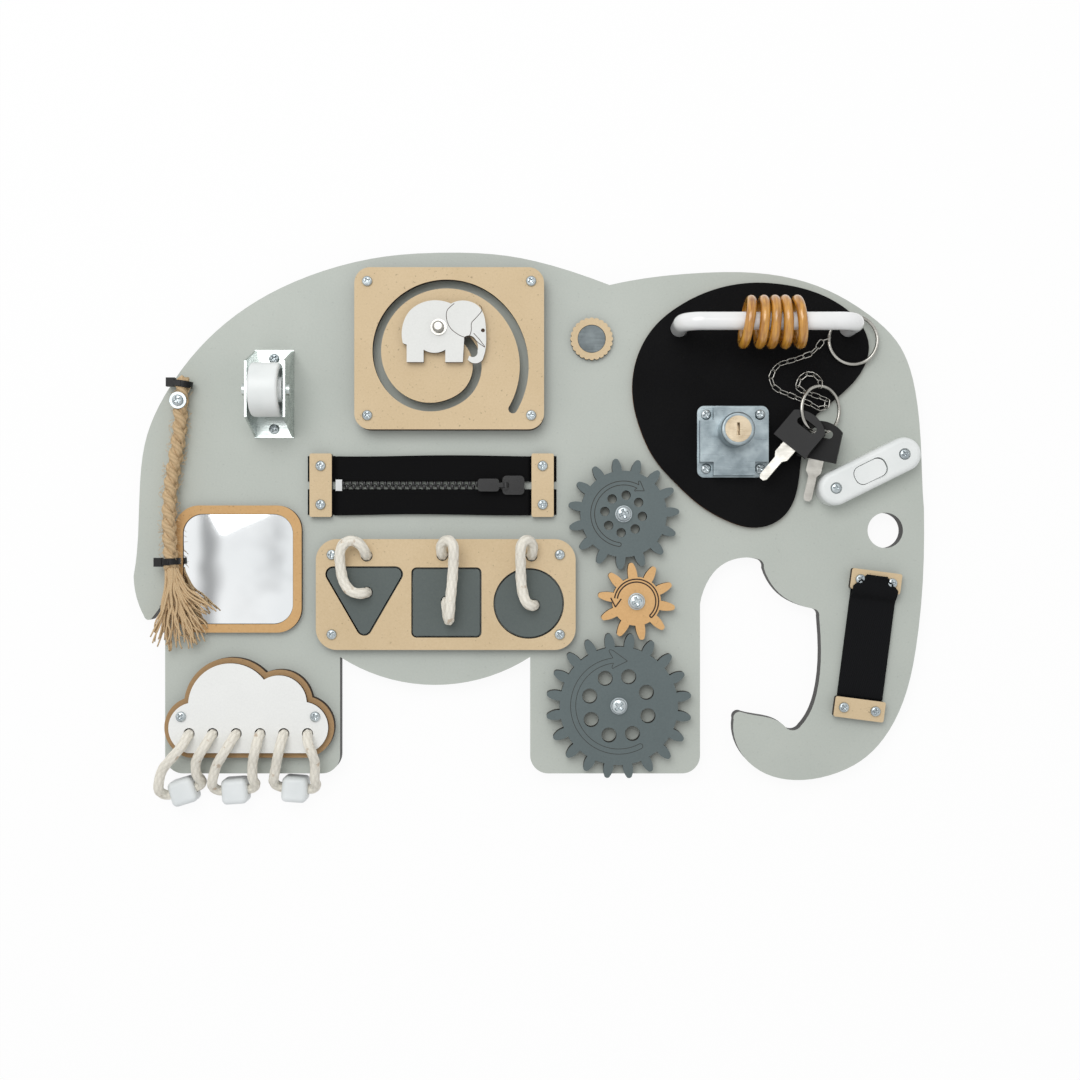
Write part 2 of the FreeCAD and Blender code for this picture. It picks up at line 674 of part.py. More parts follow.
sorter_top = face + sorter_thick
sorter = extrude(rounded(sorter_mid, *sorter_size, sorter_corner_r), face, sorter_thick)
for wire in shape_wires(0).values():
    sorter = sorter.cut(extrude(wire, face - 1, sorter_thick + 2))
sorter_screw_pitch = [size - 2 * inset for size, inset in zip(sorter_size, sorter_screw_inset)]
hold(corners_of(sorter_mid, sorter_screw_pitch), sorter_top)
shape_cord_routes = {
    "triangle": [(-91.8, -22.4, 11.0), (-91.8, -22.4, 18.4), (-92.6, -17.4, 22.6), (-95.6, -12.6, 24.4),
                 (-100.4, -11.2, 25.0), (-104.6, -14.6, 24.8), (-106.2, -20.8, 23.8), (-105.8, -28.8, 22.2),
                 (-104.6, -36.4, 21.2), (-100.8, -42.2, 21.8), (-95.6, -43.8, 23.2), (-91.6, -43.2, 19.8),
                 (-91.6, -43.2, 11.0)],
    "square": [(-48.9, -22.0, 11.0), (-48.9, -22.0, 18.6), (-49.4, -17.4, 21.6), (-48.4, -12.6, 23.8),
               (-45.0, -10.4, 27.0), (-42.0, -13.0, 29.4), (-41.4, -18.4, 29.0), (-42.0, -25.6, 26.4),
               (-42.6, -33.6, 23.4), (-42.0, -42.0, 21.4), (-41.0, -48.6, 21.6), (-41.4, -53.8, 23.0),
               (-44.0, -57.2, 24.8), (-48.0, -57.0, 25.8), (-50.2, -53.6, 25.0), (-49.0, -50.0, 22.2),
               (-46.6, -48.4, 18.0), (-46.6, -48.4, 11.0)],
    "circle": [(1.6, -22.4, 11.0), (1.6, -22.4, 18.6), (2.4, -18.0, 21.8), (2.0, -13.0, 24.0),
               (-0.8, -10.6, 27.2), (-3.8, -12.8, 29.4), (-4.6, -18.4, 28.9), (-4.4, -26.0, 26.2),
               (-4.4, -34.4, 23.4), (-3.6, -42.4, 23.2), (-1.6, -48.4, 24.2), (1.6, -50.6, 22.6),
               (3.2, -50.4, 18.2), (3.2, -50.4, 11.0)],
}
shapes, shape_cords = {}, {}
for name, wire in shape_wires(-shape_clearance).items():
    shapes[name] = extrude(wire, face, sorter_thick)
for name, route in shape_cord_routes.items():
    bore_dia = shape_cord_dia + 2 * soft_clearance
    sorter = sorter.cut(cylinder(*route[0][:2], face - 1, bore_dia, sorter_thick + 2))
    shapes[name] = shapes[name].cut(cylinder(*route[-1][:2], face - 1, bore_dia, sorter_thick + 2))
    shape_cords[name] = tube(route, shape_cord_dia)

# Mirror
mirror_frame = extrude(rounded(mirror_mid, mirror_frame_side, mirror_frame_side, mirror_frame_r), face,
                       mirror_frame_thick)
mirror_open = mirror_side + 2 * slide_clearance
mirror_frame = mirror_frame.cut(extrude(rounded(mirror_mid, mirror_open, mirror_open, mirror_r + slide_clearance),
                                        face - 1, mirror_frame_thick + 2))
mirror = extrude(rounded(mirror_mid, mirror_side, mirror_side, mirror_r), face, mirror_thick)

# Cloud: a front on a wider back, with six holes for three rope loops
cloud_wire = outline([
    ("arc", (-203.4, -119.5), (-192.2, -105.6)),
    ("arc", (-173.0, -83.6), (-149.4, -92.4)),
    ("arc", (-133.6, -91.8), (-125.3, -105.0)),
    ("arc", (-113.2, -119.6), (-125.6, -133.8)),
    ("line", (-192.4, -133.8)),
])
cloud_mid = face + cloud_back_thick
cloud_top = cloud_mid + cloud_front_thick
cloud_back = extrude(cloud_wire.makeOffset2D(cloud_border), face, cloud_back_thick)
cloud_front = extrude(cloud_wire, cloud_mid, cloud_front_thick)
loop_bore = loop_cord_dia + 2 * soft_clearance
for x in cloud_hole_x:
    tool = cylinder(x, cloud_hole_y, face - 1, loop_bore, 20)
    cloud_back = cloud_back.cut(tool)
    cloud_front = cloud_front.cut(tool)
hold([(x, cloud_screw_y) for x in cloud_screw_x], cloud_top)


def cube(x, y, angle):
    """Rounded wooden cube on the table, bored for the cord."""
    s = cube_side
    block = Part.makeBox(s, s, s, V(-s / 2, -s / 2, 0))
    block = block.makeFillet(cube_corner_r, block.Edges)
    block = block.cut(Part.makeCylinder(loop_bore / 2, s + 2, V(-s / 2 - 1, 0, s / 2), X))
    block.rotate(V(0, 0, 0), UP, angle)
    return block.translated(V(x, y, 0))


loop_cubes = [cube(*c) for c in cubes]


def loop_route(left, right, cube_at, down_left, up_right):
    """Cord from one hole over the cloud's edge, through a cube and back to the next hole."""
    x, y, angle = cube_at
    ends = {side: [(*turned((side * out, aside), (x, y), angle), cube_side / 2 + up) for out, aside, up in cube_bend]
            for side in (-1, 1)}
    down = [(left, cloud_hole_y, 11.0), (left, cloud_hole_y, 21.2)] + down_left
    up = up_right + [(right, cloud_hole_y, 21.2), (right, cloud_hole_y, 11.0)]
    return down + ends[-1][::-1] + ends[1] + up


loop_routes = [
    loop_route(cloud_hole_x[0], cloud_hole_x[1], cubes[0],
               [(-192.8, -126.9, 25.2), (-196.2, -131.6, 26.0), (-201.6, -137.4, 24.0), (-207.4, -143.6, 19.4)],
               [(-187.8, -138.6, 20.6), (-183.8, -132.6, 25.4), (-180.2, -127.2, 25.6)]),
    loop_route(cloud_hole_x[2], cloud_hole_x[3], cubes[1],
               [(-167.4, -127.6, 25.6), (-171.4, -134.0, 25.2), (-176.2, -140.6, 20.4)],
               [(-155.6, -139.2, 20.4), (-153.6, -133.0, 25.2), (-152.2, -127.4, 25.6)]),
    loop_route(cloud_hole_x[4], cloud_hole_x[5], cubes[2],
               [(-138.8, -127.4, 25.6), (-140.2, -132.8, 25.2), (-142.0, -138.6, 20.4)],
               [(-120.0, -139.4, 20.4), (-121.4, -132.8, 25.2), (-123.6, -127.2, 25.6)]),
]
loop_cords = [tube(route, loop_cord_dia) for route in loop_routes]

# Tail rope with its two ties, frayed end and screw
tail_route = [(-195.4, 78.0, 16.0), (-197.2, 66.0, 15.7), (-197.4, 50.0, 15.4), (-200.2, 33.0, 15.6),
              (-202.6, 16.0, 17.4), (-202.9, 0.0, 19.9), (-202.2, -16.0, 20.1), (-201.4, -29.4, 20.0)]
tail = tube(tail_route, tail_dia)
screw_base = tail_route[1][2] + tail_dia / 2 + 0.2
tail_hole = cylinder(*tail_screw_mid, face - screw_bite, screw_shank_dia + 2 * hole_clearance, 40)
tail = tail.cut(tail_hole)
tail_washer = washer(tail_screw_mid, screw_base, tail_washer_dia, screw_shank_dia, 1.0)
tail_screw = pan_screw(*tail_screw_mid, screw_base + 1.0, screw_shank_dia, screw_head_dia + 0.6, screw_head_high,
                       screw_base + 1.0 - face + screw_bite)


def rope_tie(at, toward, tail_side, cut_long):
    """Plastic tie round the rope: a band, its locking head and the cut end."""
    inner, outer = tail_dia / 2 + 0.02, tail_dia / 2 + tie_thick
    band = Part.makeCylinder(outer, tie_wide, at - toward * (tie_wide / 2), toward)
    band = band.cut(Part.makeCylinder(inner, tie_wide + 2, at - toward * (tie_wide / 2 + 1), toward))
    side = toward.cross(UP).normalize() * tail_side
    head = Part.makeBox(5.0, tie_wide + 1.4, 3.6, V(-2.5, -(tie_wide + 1.4) / 2, -1.8))
    head.translate(at + side * (outer + 1.2) + V(0, 0, 0.6))
    end = Part.makeBox(cut_long, tie_wide - 0.6, 1.1, V(0, -(tie_wide - 0.6) / 2, 0))
    if tail_side > 0:
        end = end.mirror(V(0, 0, 0), X)
    start = at + V(0, 0, outer - 0.6)
    end.translate(start)
    core = Part.makeCylinder(inner, tie_wide + 8, at - toward * (tie_wide / 2 + 4), toward)
    return band.fuse([head, end]).cut(core).removeSplitter()


def along(a, b, share):
    """Point and direction on one run of the tail rope."""
    start, stop_at = V(*tail_route[a]), V(*tail_route[b])
    return start + (stop_at - start) * share, (stop_at - start).normalize()


tie_top_at, tie_top_way = along(0, 1, 0.26)
tie_low_at, tie_low_way = along(6, 7, 0.72)
ties = [rope_tie(tie_top_at, tie_top_way, 1, 4.0), rope_tie(tie_low_at, tie_low_way, 1, 0.5)]
tassel_start = V(*tail_route[-1])
tassel_rings = [(0.3, 4.2, 4.2, 0.0), (8.0, 5.4, 3.6, -0.6), (22.0, 8.6, 3.2, 0.6), (36.0, 14.0, 3.0, 3.6),
                (47.0, 17.0, 2.4, 5.0)]
tassel_sections = []
for down, wide, high, aside in tassel_rings:
    centre = tassel_start + V(aside, -down, -0.02 * down)
    ring = Part.Ellipse(V(0, 0, 0), max(wide, high + 0.01), high).toShape()
    ring = Part.Wire(ring)
    ring.rotate(V(0, 0, 0), X, 90)
    tassel_sections.append(ring.translated(centre))
tassel = Part.makeLoft(tassel_sections, True, False)


# Gears: long leaf shaped teeth on a module of four
def gear(mid, teeth, phase, addendum, depth, holes):
    """Gear blank with a tooth centred at the phase angle."""
    pitch_r = gear_module * teeth / 2
    tip_r = pitch_r + addendum
    root_r = tip_r - depth
    parts = []
    for n in range(teeth):
        a = radians(phase) + 2 * pi * n / teeth

        def at(r, wide):
            b = a + wide / (2 * r)
            return (mid[0] + r * cos(b), mid[1] + r * sin(b))

        gap = a - pi / teeth
        parts += [
            ("arc", (mid[0] + root_r * cos(gap), mid[1] + root_r * sin(gap)), at(root_r, -tooth_root_wide)),
            ("arc", at(pitch_r - 1.2, -tooth_pitch_wide), at(tip_r - 0.5, -tooth_tip_wide)),
            ("arc", at(tip_r, 0), at(tip_r - 0.5, tooth_tip_wide)),
            ("arc", at(pitch_r - 1.2, tooth_pitch_wide), at(root_r, tooth_root_wide)),
        ]
    low = face + gear_lift
    blank = extrude(outline(parts), low, gear_thick)
    blank = blank.cut(cylinder(*mid, low - 1, gear_screw_dia + 2 * 0.08, gear_thick + 2))
    if holes:
        count, ring_r, dia, turn = holes
        for n in range(count):
            b = radians(turn) + 2 * pi * n / count
            blank = blank.cut(cylinder(mid[0] + ring_r * cos(b), mid[1] + ring_r * sin(b), low - 1, dia,
                                       gear_thick + 2))
    return blank


small_r = gear_module * gear_small_teeth / 2
large_gap = small_r + gear_module * gear_large_teeth / 2
medium_gap = small_r + gear_module * gear_medium_teeth / 2
half_small = 180 / gear_small_teeth
medium_line = gear_line_angle + half_small
gear_large_mid = turned((-large_gap, 0), gear_small_mid, gear_line_angle)
gear_medium_mid = turned((medium_gap, 0), gear_small_mid, medium_line)
gear_small = gear(gear_small_mid, gear_small_teeth, medium_line, gear_addendum[1], gear_depth[1], None)
gear_large = gear(gear_large_mid, gear_large_teeth, gear_line_angle, gear_addendum[2], gear_depth[2],
                  gear_large_holes)
gear_medium = gear(gear_medium_mid, gear_medium_teeth, medium_line + 180 + 180 / gear_medium_teeth,
                   gear_addendum[0], gear_depth[0], gear_medium_holes)
gear_top = face + gear_lift + gear_thick
gear_fixings = []
for mid in (gear_large_mid, gear_small_mid, gear_medium_mid):
    gear_fixings.append(washer(mid, face, gear_washer_dia, gear_screw_dia, gear_lift - 0.05))
    gear_fixings.append(washer(mid, gear_top + 0.05, gear_washer_dia, gear_screw_dia, 0.9))
    gear_fixings.append(pan_screw(*mid, gear_top + 0.95, gear_screw_dia, gear_head_dia, 2.2,
                                  gear_top + 0.95 - face + screw_bite))
    board = board.cut(cylinder(*mid, face - screw_bite, gear_screw_dia, screw_bite + 1))


# Pull handle, screwed on from behind, and its rings
bar_z = ear_top + handle_bar_high - ear_thick
handle_right_x = handle_left_x + handle_pitch
r = handle_bend_r
k = r * (1 - cos(pi / 4))
handle_path = Part.Wire([
    Part.makeLine(V(handle_left_x, handle_y, ear_top), V(handle_left_x, handle_y, bar_z - r)),
    Part.Arc(V(handle_left_x, handle_y, bar_z - r), V(handle_left_x + k, handle_y, bar_z - k),
             V(handle_left_x + r, handle_y, bar_z)).toShape(),
    Part.makeLine(V(handle_left_x + r, handle_y, bar_z), V(handle_right_x - r, handle_y, bar_z)),
    Part.Arc(V(handle_right_x - r, handle_y, bar_z), V(handle_right_x - k, handle_y, bar_z - k),
             V(handle_right_x, handle_y, bar_z - r)).toShape(),
    Part.makeLine(V(handle_right_x, handle_y, bar_z - r), V(handle_right_x, handle_y, ear_top)),
])
section = Part.Wire(Part.makeCircle(handle_bar_dia / 2, V(handle_left_x, handle_y, ear_top), UP))
handle = handle_path.makePipeShell([section], True, False)
handle_screws = []
head_deep = 3.0
for x in (handle_left_x, handle_right_x):
    handle = handle.cut(cylinder(x, handle_y, ear_top - 1, handle_screw_dia, 13.0))
    shank = cylinder(x, handle_y, head_deep - 0.2, handle_screw_dia, ear_top + 11.0 - head_deep)
    head = cylinder(x, handle_y, 0.4, handle_screw_head_dia, head_deep - 0.4)
    handle_screws.append(shank.fuse(head))
    clear = handle_screw_dia + 2 * hole_clearance
    board = board.cut(cylinder(x, handle_y, -1, clear, board_thick + 2))
    board = board.cut(cylinder(x, handle_y, -1, handle_screw_head_dia + 2 * hole_clearance, head_deep + 1))
    ear = ear.cut(cylinder(x, handle_y, face - 1, clear, ear_thick + 2))

ring_middle_r = (ring_outer_dia - ring_tube_dia) / 2
ring_drop = (ring_inner_dia - handle_bar_dia) / 2 - slide_clearance
rings = []
for x, angle in zip(ring_rest_x, ring_turn):
    ring = Part.makeTorus(ring_middle_r, ring_tube_dia / 2, V(0, 0, 0), X)
    ring.rotate(V(0, 0, 0), UP, angle)
    rings.append(ring.translated(V(x, handle_y, bar_z - ring_drop)))

# Split rings, chain links and keys
band_r = split_ring_band_dia / 2
large_ring = Part.makeTorus(large_ring_dia / 2 - band_r, band_r, V(*large_ring_mid), UP)
small_ring = Part.makeTorus(small_ring_dia / 2 - band_r, band_r, V(0, 0, 0), UP)
small_ring.rotate(V(0, 0, 0), V(0, 1, 0), small_ring_tilt)
small_ring.translate(V(*small_ring_mid))

chain_route = [(171.1, 100.9, 14.9), (165.4, 98.2, 14.9), (161.8, 93.2, 14.9), (155.7, 90.6, 14.9),
               (149.3, 88.2, 14.9), (142.8, 86.6, 14.9), (138.8, 82.8, 14.9), (137.2, 77.2, 14.9),
               (140.0, 72.4, 14.9), (146.6, 69.4, 14.9), (153.5, 66.4, 14.9), (161.0, 63.0, 14.9),
               (167.0, 60.8, 14.9), (170.4, 64.6, 14.9), (165.6, 67.4, 14.9), (158.4, 69.8, 14.9),
               (152.2, 73.2, 14.9), (154.0, 78.4, 15.1), (159.4, 81.0, 16.2), (163.6, 78.2, 18.4), (164.4, 72.3, 20.6)]


def link(start, end, roll):
    """One oval link between two points of the chain, rolled about its length from lying flat."""
    half = (link_long - link_wide) / 2
    r = (link_wide - link_wire_dia) / 2
    path = Part.Wire([
        Part.makeLine(V(-half, r, 0), V(half, r, 0)),
        Part.Arc(V(half, r, 0), V(half + r, 0, 0), V(half, -r, 0)).toShape(),
        Part.makeLine(V(half, -r, 0), V(-half, -r, 0)),
        Part.Arc(V(-half, -r, 0), V(-half - r, 0, 0), V(-half, r, 0)).toShape(),
    ])
    ring = Part.Wire(Part.makeCircle(link_wire_dia / 2, V(-half, r, 0), X))
    solid = path.makePipeShell([ring], True, False)
    way = (end - start).normalize()
    solid.rotate(V(0, 0, 0), X, roll)
    solid.rotate(V(0, 0, 0), V(0, 1, 0), -degrees(atan2(way.z, hypot(way.x, way.y))))
    solid.rotate(V(0, 0, 0), UP, degrees(atan2(way.y, way.x)))
    return solid.translated((start + end) * 0.5)


chain_line = Part.BSplineCurve()
chain_line.interpolate([V(*p) for p in chain_route])
joints = chain_line.toShape().discretize(Number=link_count + 1)
links = []
for n, (a, b) in enumerate(zip(joints, joints[1:])):
    start_share = max(0, 1 - n / link_twist_over)
    end_share = max(0, 1 - (link_count - 1 - n) / link_twist_over)
    roll = link_twist * (1 + start_share + 2 * (n % 2)) + link_twist_end * end_share
    links.append(link(a, b, roll))
print("chain", round(chain_line.length(), 1), "long, pitch", round(chain_line.length() / link_count, 2))


def key(slot_at, heading, tilt, roll):
    """Key head and blade: slot at the origin, blade along -Y, then leaned, turned and put in place."""
    wide, long = key_head
    top = key_slot_in
    foot = top - long
    head_wire = outline([
        ("line", (-wide / 2, foot)), ("line", (wide / 2, foot)), ("line", (wide / 2, top - 1.0)),
        ("arc", (0, top + key_head_bulge), (-wide / 2, top - 1.0)),
    ])
    head = extrude(head_wire, -key_head_thick / 2, key_head_thick)
    slot = extrude(rounded((0, 0), *key_slot, key_slot[1] / 2 - 0.01), -key_head_thick, 2 * key_head_thick)
    blade_wire = outline([
        ("line", (-key_blade_wide / 2, foot)), ("line", (-key_blade_wide / 2, foot - key_blade_shoulder)),
        ("line", (-key_blade_tip_wide / 2, foot - key_blade_shoulder - 2.6)),
        ("line", (-key_blade_tip_wide / 2, foot - key_blade_long + 1.6)),
        ("line", (-1.2, foot - key_blade_long)), ("line", (1.2, foot - key_blade_long)),
        ("line", (key_blade_tip_wide / 2, foot - key_blade_long + 1.6)),
        ("line", (key_blade_tip_wide / 2, foot - key_blade_shoulder - 2.6)),
        ("line", (key_blade_wide / 2, foot - key_blade_shoulder)), ("line", (key_blade_wide / 2, foot)),
    ])
    blade = extrude(blade_wire, -key_blade_thick / 2, key_blade_thick)
    pieces = [head.cut(slot), blade]
    for piece in pieces:
        piece.rotate(V(0, 0, 0), V(0, 1, 0), roll)
        piece.rotate(V(0, 0, 0), X, tilt)
        piece.rotate(V(0, 0, 0), UP, heading)
        piece.translate(V(*slot_at))
    return pieces


key_places = [((156.0, 50.5, 25.1), -40.0, 3.0, -15.0), ((165.4, 46.7, 20.2), -11.0, 8.0, -17.0)]
keys = [key(*place) for place in key_places]

# Lock: plate, cross shaped case with four screw pockets, cylinder, plug and bolt
lock_x, lock_y = lock_mid
lock_plug_y = lock_y + lock_cylinder_up
lock_top = ear_top + lock_body_high
lock = extrude(rounded(lock_mid, lock_side, lock_side, lock_corner_r), ear_top, lock_plate_thick)
case_side = lock_side - 2 * lock_body_inset
case = extrude(rounded(lock_mid, case_side, case_side, 1.0), ear_top, lock_body_high)
for a in (-1, 1):
    for b in (-1, 1):
        x = lock_x + a * (lock_side - lock_pocket) / 2 - lock_pocket / 2
        y = lock_y + b * (lock_side - lock_pocket) / 2 - lock_pocket / 2
        case = case.cut(Part.makeBox(lock_pocket, lock_pocket, lock_body_high, V(x, y, ear_top + lock_plate_thick)))
case = case.fuse(cylinder(lock_x, lock_plug_y, ear_top, lock_cylinder_dia, lock_cylinder_high))
lock = lock.fuse(case).removeSplitter()
cylinder_top = ear_top + lock_cylinder_high
lock = lock.makeFillet(1.2, [e for e in lock.Edges if abs(e.BoundBox.ZMin - cylinder_top) < 1e-6])
bolt_wide, bolt_long, bolt_thick = lock_bolt
bolt_z = ear_top + lock_plate_thick + lock_bolt_floor
bolt_end_y = lock_y + lock_side / 2 - lock_body_inset
way = slide_clearance / 2
lock = lock.cut(Part.makeBox(bolt_wide + 2 * way, bolt_long + lock_bolt_travel, bolt_thick + 2 * way,
                             V(lock_x - bolt_wide / 2 - way, bolt_end_y - bolt_long - 0.5, bolt_z - way)))
bore_from = bolt_z + bolt_thick
lock = lock.cut(cylinder(lock_x, lock_plug_y, bore_from, lock_plug_dia + 2 * 0.06, 40))
tongue = Part.makeBox(bolt_wide, bolt_long, bolt_thick, V(lock_x - bolt_wide / 2, bolt_end_y - bolt_long, bolt_z))
crank_r = lock_bolt_travel / 2
window_wide = 2 * crank_r + crank_dia + 2 * slide_clearance
window_high = crank_dia + 2 * crank_slack
window_y = lock_plug_y - crank_r
tongue = tongue.cut(Part.makeBox(window_wide, window_high, bolt_thick + 2,
                                 V(lock_x - window_wide / 2, window_y - window_high / 2, bolt_z - 1)))
plug_from = bolt_z + bolt_thick + way + 0.05
plug = cylinder(lock_x, lock_plug_y, plug_from, lock_plug_dia, cylinder_top + lock_plug_proud - plug_from)
plug = plug.fuse(cylinder(lock_x, window_y, bolt_z + 0.2, crank_dia, plug_from - bolt_z + 0.4))
plug = plug.cut(Part.makeBox(keyhole[0], keyhole[1], keyhole[2] + 1,
                             V(lock_x - keyhole[0] / 2, lock_plug_y - keyhole[1] / 2, cylinder_top - keyhole[2])))
plate_top = ear_top + lock_plate_thick
lock_screw_points = corners_of(lock_mid, (lock_screw_pitch, lock_screw_pitch))
hold(lock_screw_points, plate_top)

# Switch: rounded case with a tilting rocker on a pin line across it
switch_top = face + switch_high
half = switch_end_pitch / 2
sr = switch_wide / 2
switch = extrude(outline([
    ("line", (half, -sr)), ("arc", (half + sr, 0), (half, sr)), ("line", (-half, sr)),
    ("arc", (-half - sr, 0), (-half, -sr)),
]), face, switch_high)
switch = fillet_top(switch, switch_top, switch_edge_r)
pocket = extrude(rounded((0, 0), rocker_long + 2 * slide_clearance + 1.0, rocker_wide + 2 * slide_clearance, 4.6),
                 switch_top - rocker_deep - 1.6, rocker_deep + 4)
pivot_z = switch_top - 2.4
seats = [cylinder(x, 0, switch_top - 1.2, screw_head_dia + 0.8, 4) for x in (-half, half)]
switch = switch.cut(pocket).cut(seats[0]).cut(seats[1])
pin_long = rocker_wide + 4.0
pin_hole = Part.makeCylinder(rocker_pin_dia / 2 + 0.05, pin_long, V(0, -pin_long / 2, pivot_z), V(0, 1, 0))
switch = switch.cut(pin_hole)
rocker = extrude(rounded((0, 0), rocker_long, rocker_wide, 4.4), switch_top - rocker_deep + 1.4,
                 rocker_deep - 1.4 + rocker_proud)
hollow = Part.makeCylinder(60.0, rocker_wide + 2, V(0, -rocker_wide / 2 - 1, switch_top + rocker_proud - 0.9 + 60),
                           V(0, 1, 0))
rocker = rocker.cut(hollow)
rocker = rocker.fuse(Part.makeCylinder(rocker_pin_dia / 2, pin_long - 0.4, V(0, -pin_long / 2 + 0.2, pivot_z),
                                       V(0, 1, 0)))
rocker.rotate(V(0, 0, pivot_z), V(0, 1, 0), -rocker_tilt)
for piece in (switch, rocker):
    piece.rotate(V(0, 0, 0), UP, switch_turn)
    piece.translate(V(*switch_mid, 0))
hold([turned((x, 0), switch_mid, switch_turn) for x in (-half, half)], switch_top - 1.2)

# Hook and loop strap: two bars, the loop strip under them and the flap over the upper one
bar_base = face + strap_thick
bar_top = bar_base + strap_bar_thick
lower_v = -strap_bar_pitch
bars = [extrude(rounded((0, v), *strap_bar, strap_bar_r), bar_base, strap_bar_thick) for v in (0, lower_v)]
strip_from = lower_v - strap_bar[1] / 2 + 1.0
strip_to = strap_bar[1] / 2 - 1.0
strip = Part.makeBox(strap_wide, strip_to - strip_from, strap_thick, V(-strap_wide / 2, strip_from, face))
hinge_v = lower_v + strap_bar[1] / 2 + 0.4
flap_low = bar_base + 0.1
flap_over = bar_top + 0.3
bend_v = -strap_bar[1] / 2 - 1.4
profile = [(hinge_v, flap_low), (bend_v - 3.4, flap_low), (bend_v + 0.4, flap_over), (strap_end_over, flap_over),
           (strap_end_over, flap_over + strap_thick), (bend_v, flap_over + strap_thick),
           (bend_v - 3.8, flap_low + strap_thick), (hinge_v, flap_low + strap_thick)]
flap_line = [V(-strap_wide / 2, v, z) for v, z in profile]
flap = Part.Face(Part.makePolygon(flap_line + flap_line[:1])).extrude(V(strap_wide, 0, 0))
for side in (-1, 1):
    edge = side * strap_wide / 2
    drop = strap_wide / 2 - strap_end_half
    corner = [V(side * strap_end_half, strap_end_over + 0.01, flap_low - 1), V(edge + side, strap_end_over + 0.01,
              flap_low - 1), V(edge + side, strap_end_over - drop, flap_low - 1),
              V(edge, strap_end_over - drop, flap_low - 1)]
    flap = flap.cut(Part.Face(Part.makePolygon(corner + corner[:1])).extrude(V(0, 0, 12)))
strap_screws = [(side * strap_screw_pitch / 2, v) for v in (0, lower_v) for side in (-1, 1)]
for x, y in strap_screws[:2]:
    flap = flap.cut(cylinder(x, y, flap_low, screw_head_dia + 2 * soft_clearance, 12))
for piece in bars + [strip, flap]:
    piece.rotate(V(0, 0, 0), UP, strap_turn)
    piece.translate(V(*strap_upper_mid, 0))
hold([turned(p, strap_upper_mid, strap_turn) for p in strap_screws], bar_top)
print("strap hinge", turned((0, hinge_v), strap_upper_mid, strap_turn), flap_low + strap_thick)

# Small screws, and the holes that they pass through
drilled = {"board": board, "ear": ear, "spacer": spacer, "spiral": spiral, "bracket": bracket, "sorter": sorter,
           "cloud_back": cloud_back, "cloud_front": cloud_front, "lock": lock, "switch": switch, "strip": strip,
           "bar_0": bars[0], "bar_1": bars[1], "clamp_0": clamps[0], "clamp_1": clamps[1],
           "tape_1": tapes[1], "tape_-1": tapes[-1]}
panel_screws = []
for x, y, top, deep in panel_points:
    panel_screws.append(pan_screw(x, y, top, screw_shank_dia, screw_head_dia, screw_head_high, deep))
    hole = cylinder(x, y, top - deep, screw_shank_dia + hole_clearance, deep + 0.01)
    for name, solid in drilled.items():
        b = solid.BoundBox
        if b.XMin < x < b.XMax and b.YMin < y < b.YMax and b.ZMin < top + 0.1:
            drilled[name] = solid.cut(hole)
drilled["board"] = drilled["board"].cut(tail_hole)

save("main_board", [drilled["board"]])
save("ear_panel", [drilled["ear"]])
save("spiral_spacer", [drilled["spacer"]])
save("spiral_panel", [drilled["spiral"]])
save("figure_plate", [figure])
save("figure_bolt", [bolt, nut] + washers)
save("magnet_rosette", [rosette])
save("magnet_disc", [magnet])
save("caster_bracket", [drilled["bracket"]])
save("caster_wheel", [wheel])
save("caster_axle", [axle])
save("zipper_clamps", [drilled["clamp_0"], drilled["clamp_1"]])
save("zipper_tape_upper", [drilled["tape_1"]])
save("zipper_tape_lower", [drilled["tape_-1"]])
save("zipper_slider", [slider])
save("zipper_pull", [pull])
save("zipper_stop", [stop])
save("sorter_panel", [drilled["sorter"]])
for name in shapes:
    save("shape_" + name, [shapes[name]])
    save("shape_cord_" + name, [shape_cords[name]])
save("mirror_frame", [mirror_frame])
save("mirror_glass", [mirror])
save("cloud_back", [drilled["cloud_back"]])
save("cloud_front", [drilled["cloud_front"]])
for n, cord in enumerate(loop_cords, 1):
    save("loop_cord_" + str(n), [cord])
save("loop_cubes", loop_cubes)
save("tail_rope", [tail])
save("tail_ties", ties)
save("tail_tassel", [tassel])
save("tail_screw", [tail_screw, tail_washer])
save("gear_large", [gear_large])
save("gear_small", [gear_small])
save("gear_medium", [gear_medium])
save("gear_screws", gear_fixings)
save("pull_handle", [handle])
save("handle_screws", handle_screws)
for n, ring in enumerate(rings, 1):
    save("ring_" + str(n), [ring])
save("key_chain", links)
save("split_rings", [large_ring, small_ring])
save("key_heads", [pair[0] for pair in keys])
save("key_blades", [pair[1] for pair in keys])
save("lock_body", [drilled["lock"]])
save("lock_plug", [plug])
save("lock_bolt", [tongue])
save("switch_body", [drilled["switch"]])
save("switch_rocker", [rocker])
save("velcro_bars", [drilled["bar_0"], drilled["bar_1"]])
save("velcro_loop_strip", [drilled["strip"]])
save("velcro_flap", [flap])
save("panel_screws", panel_screws)
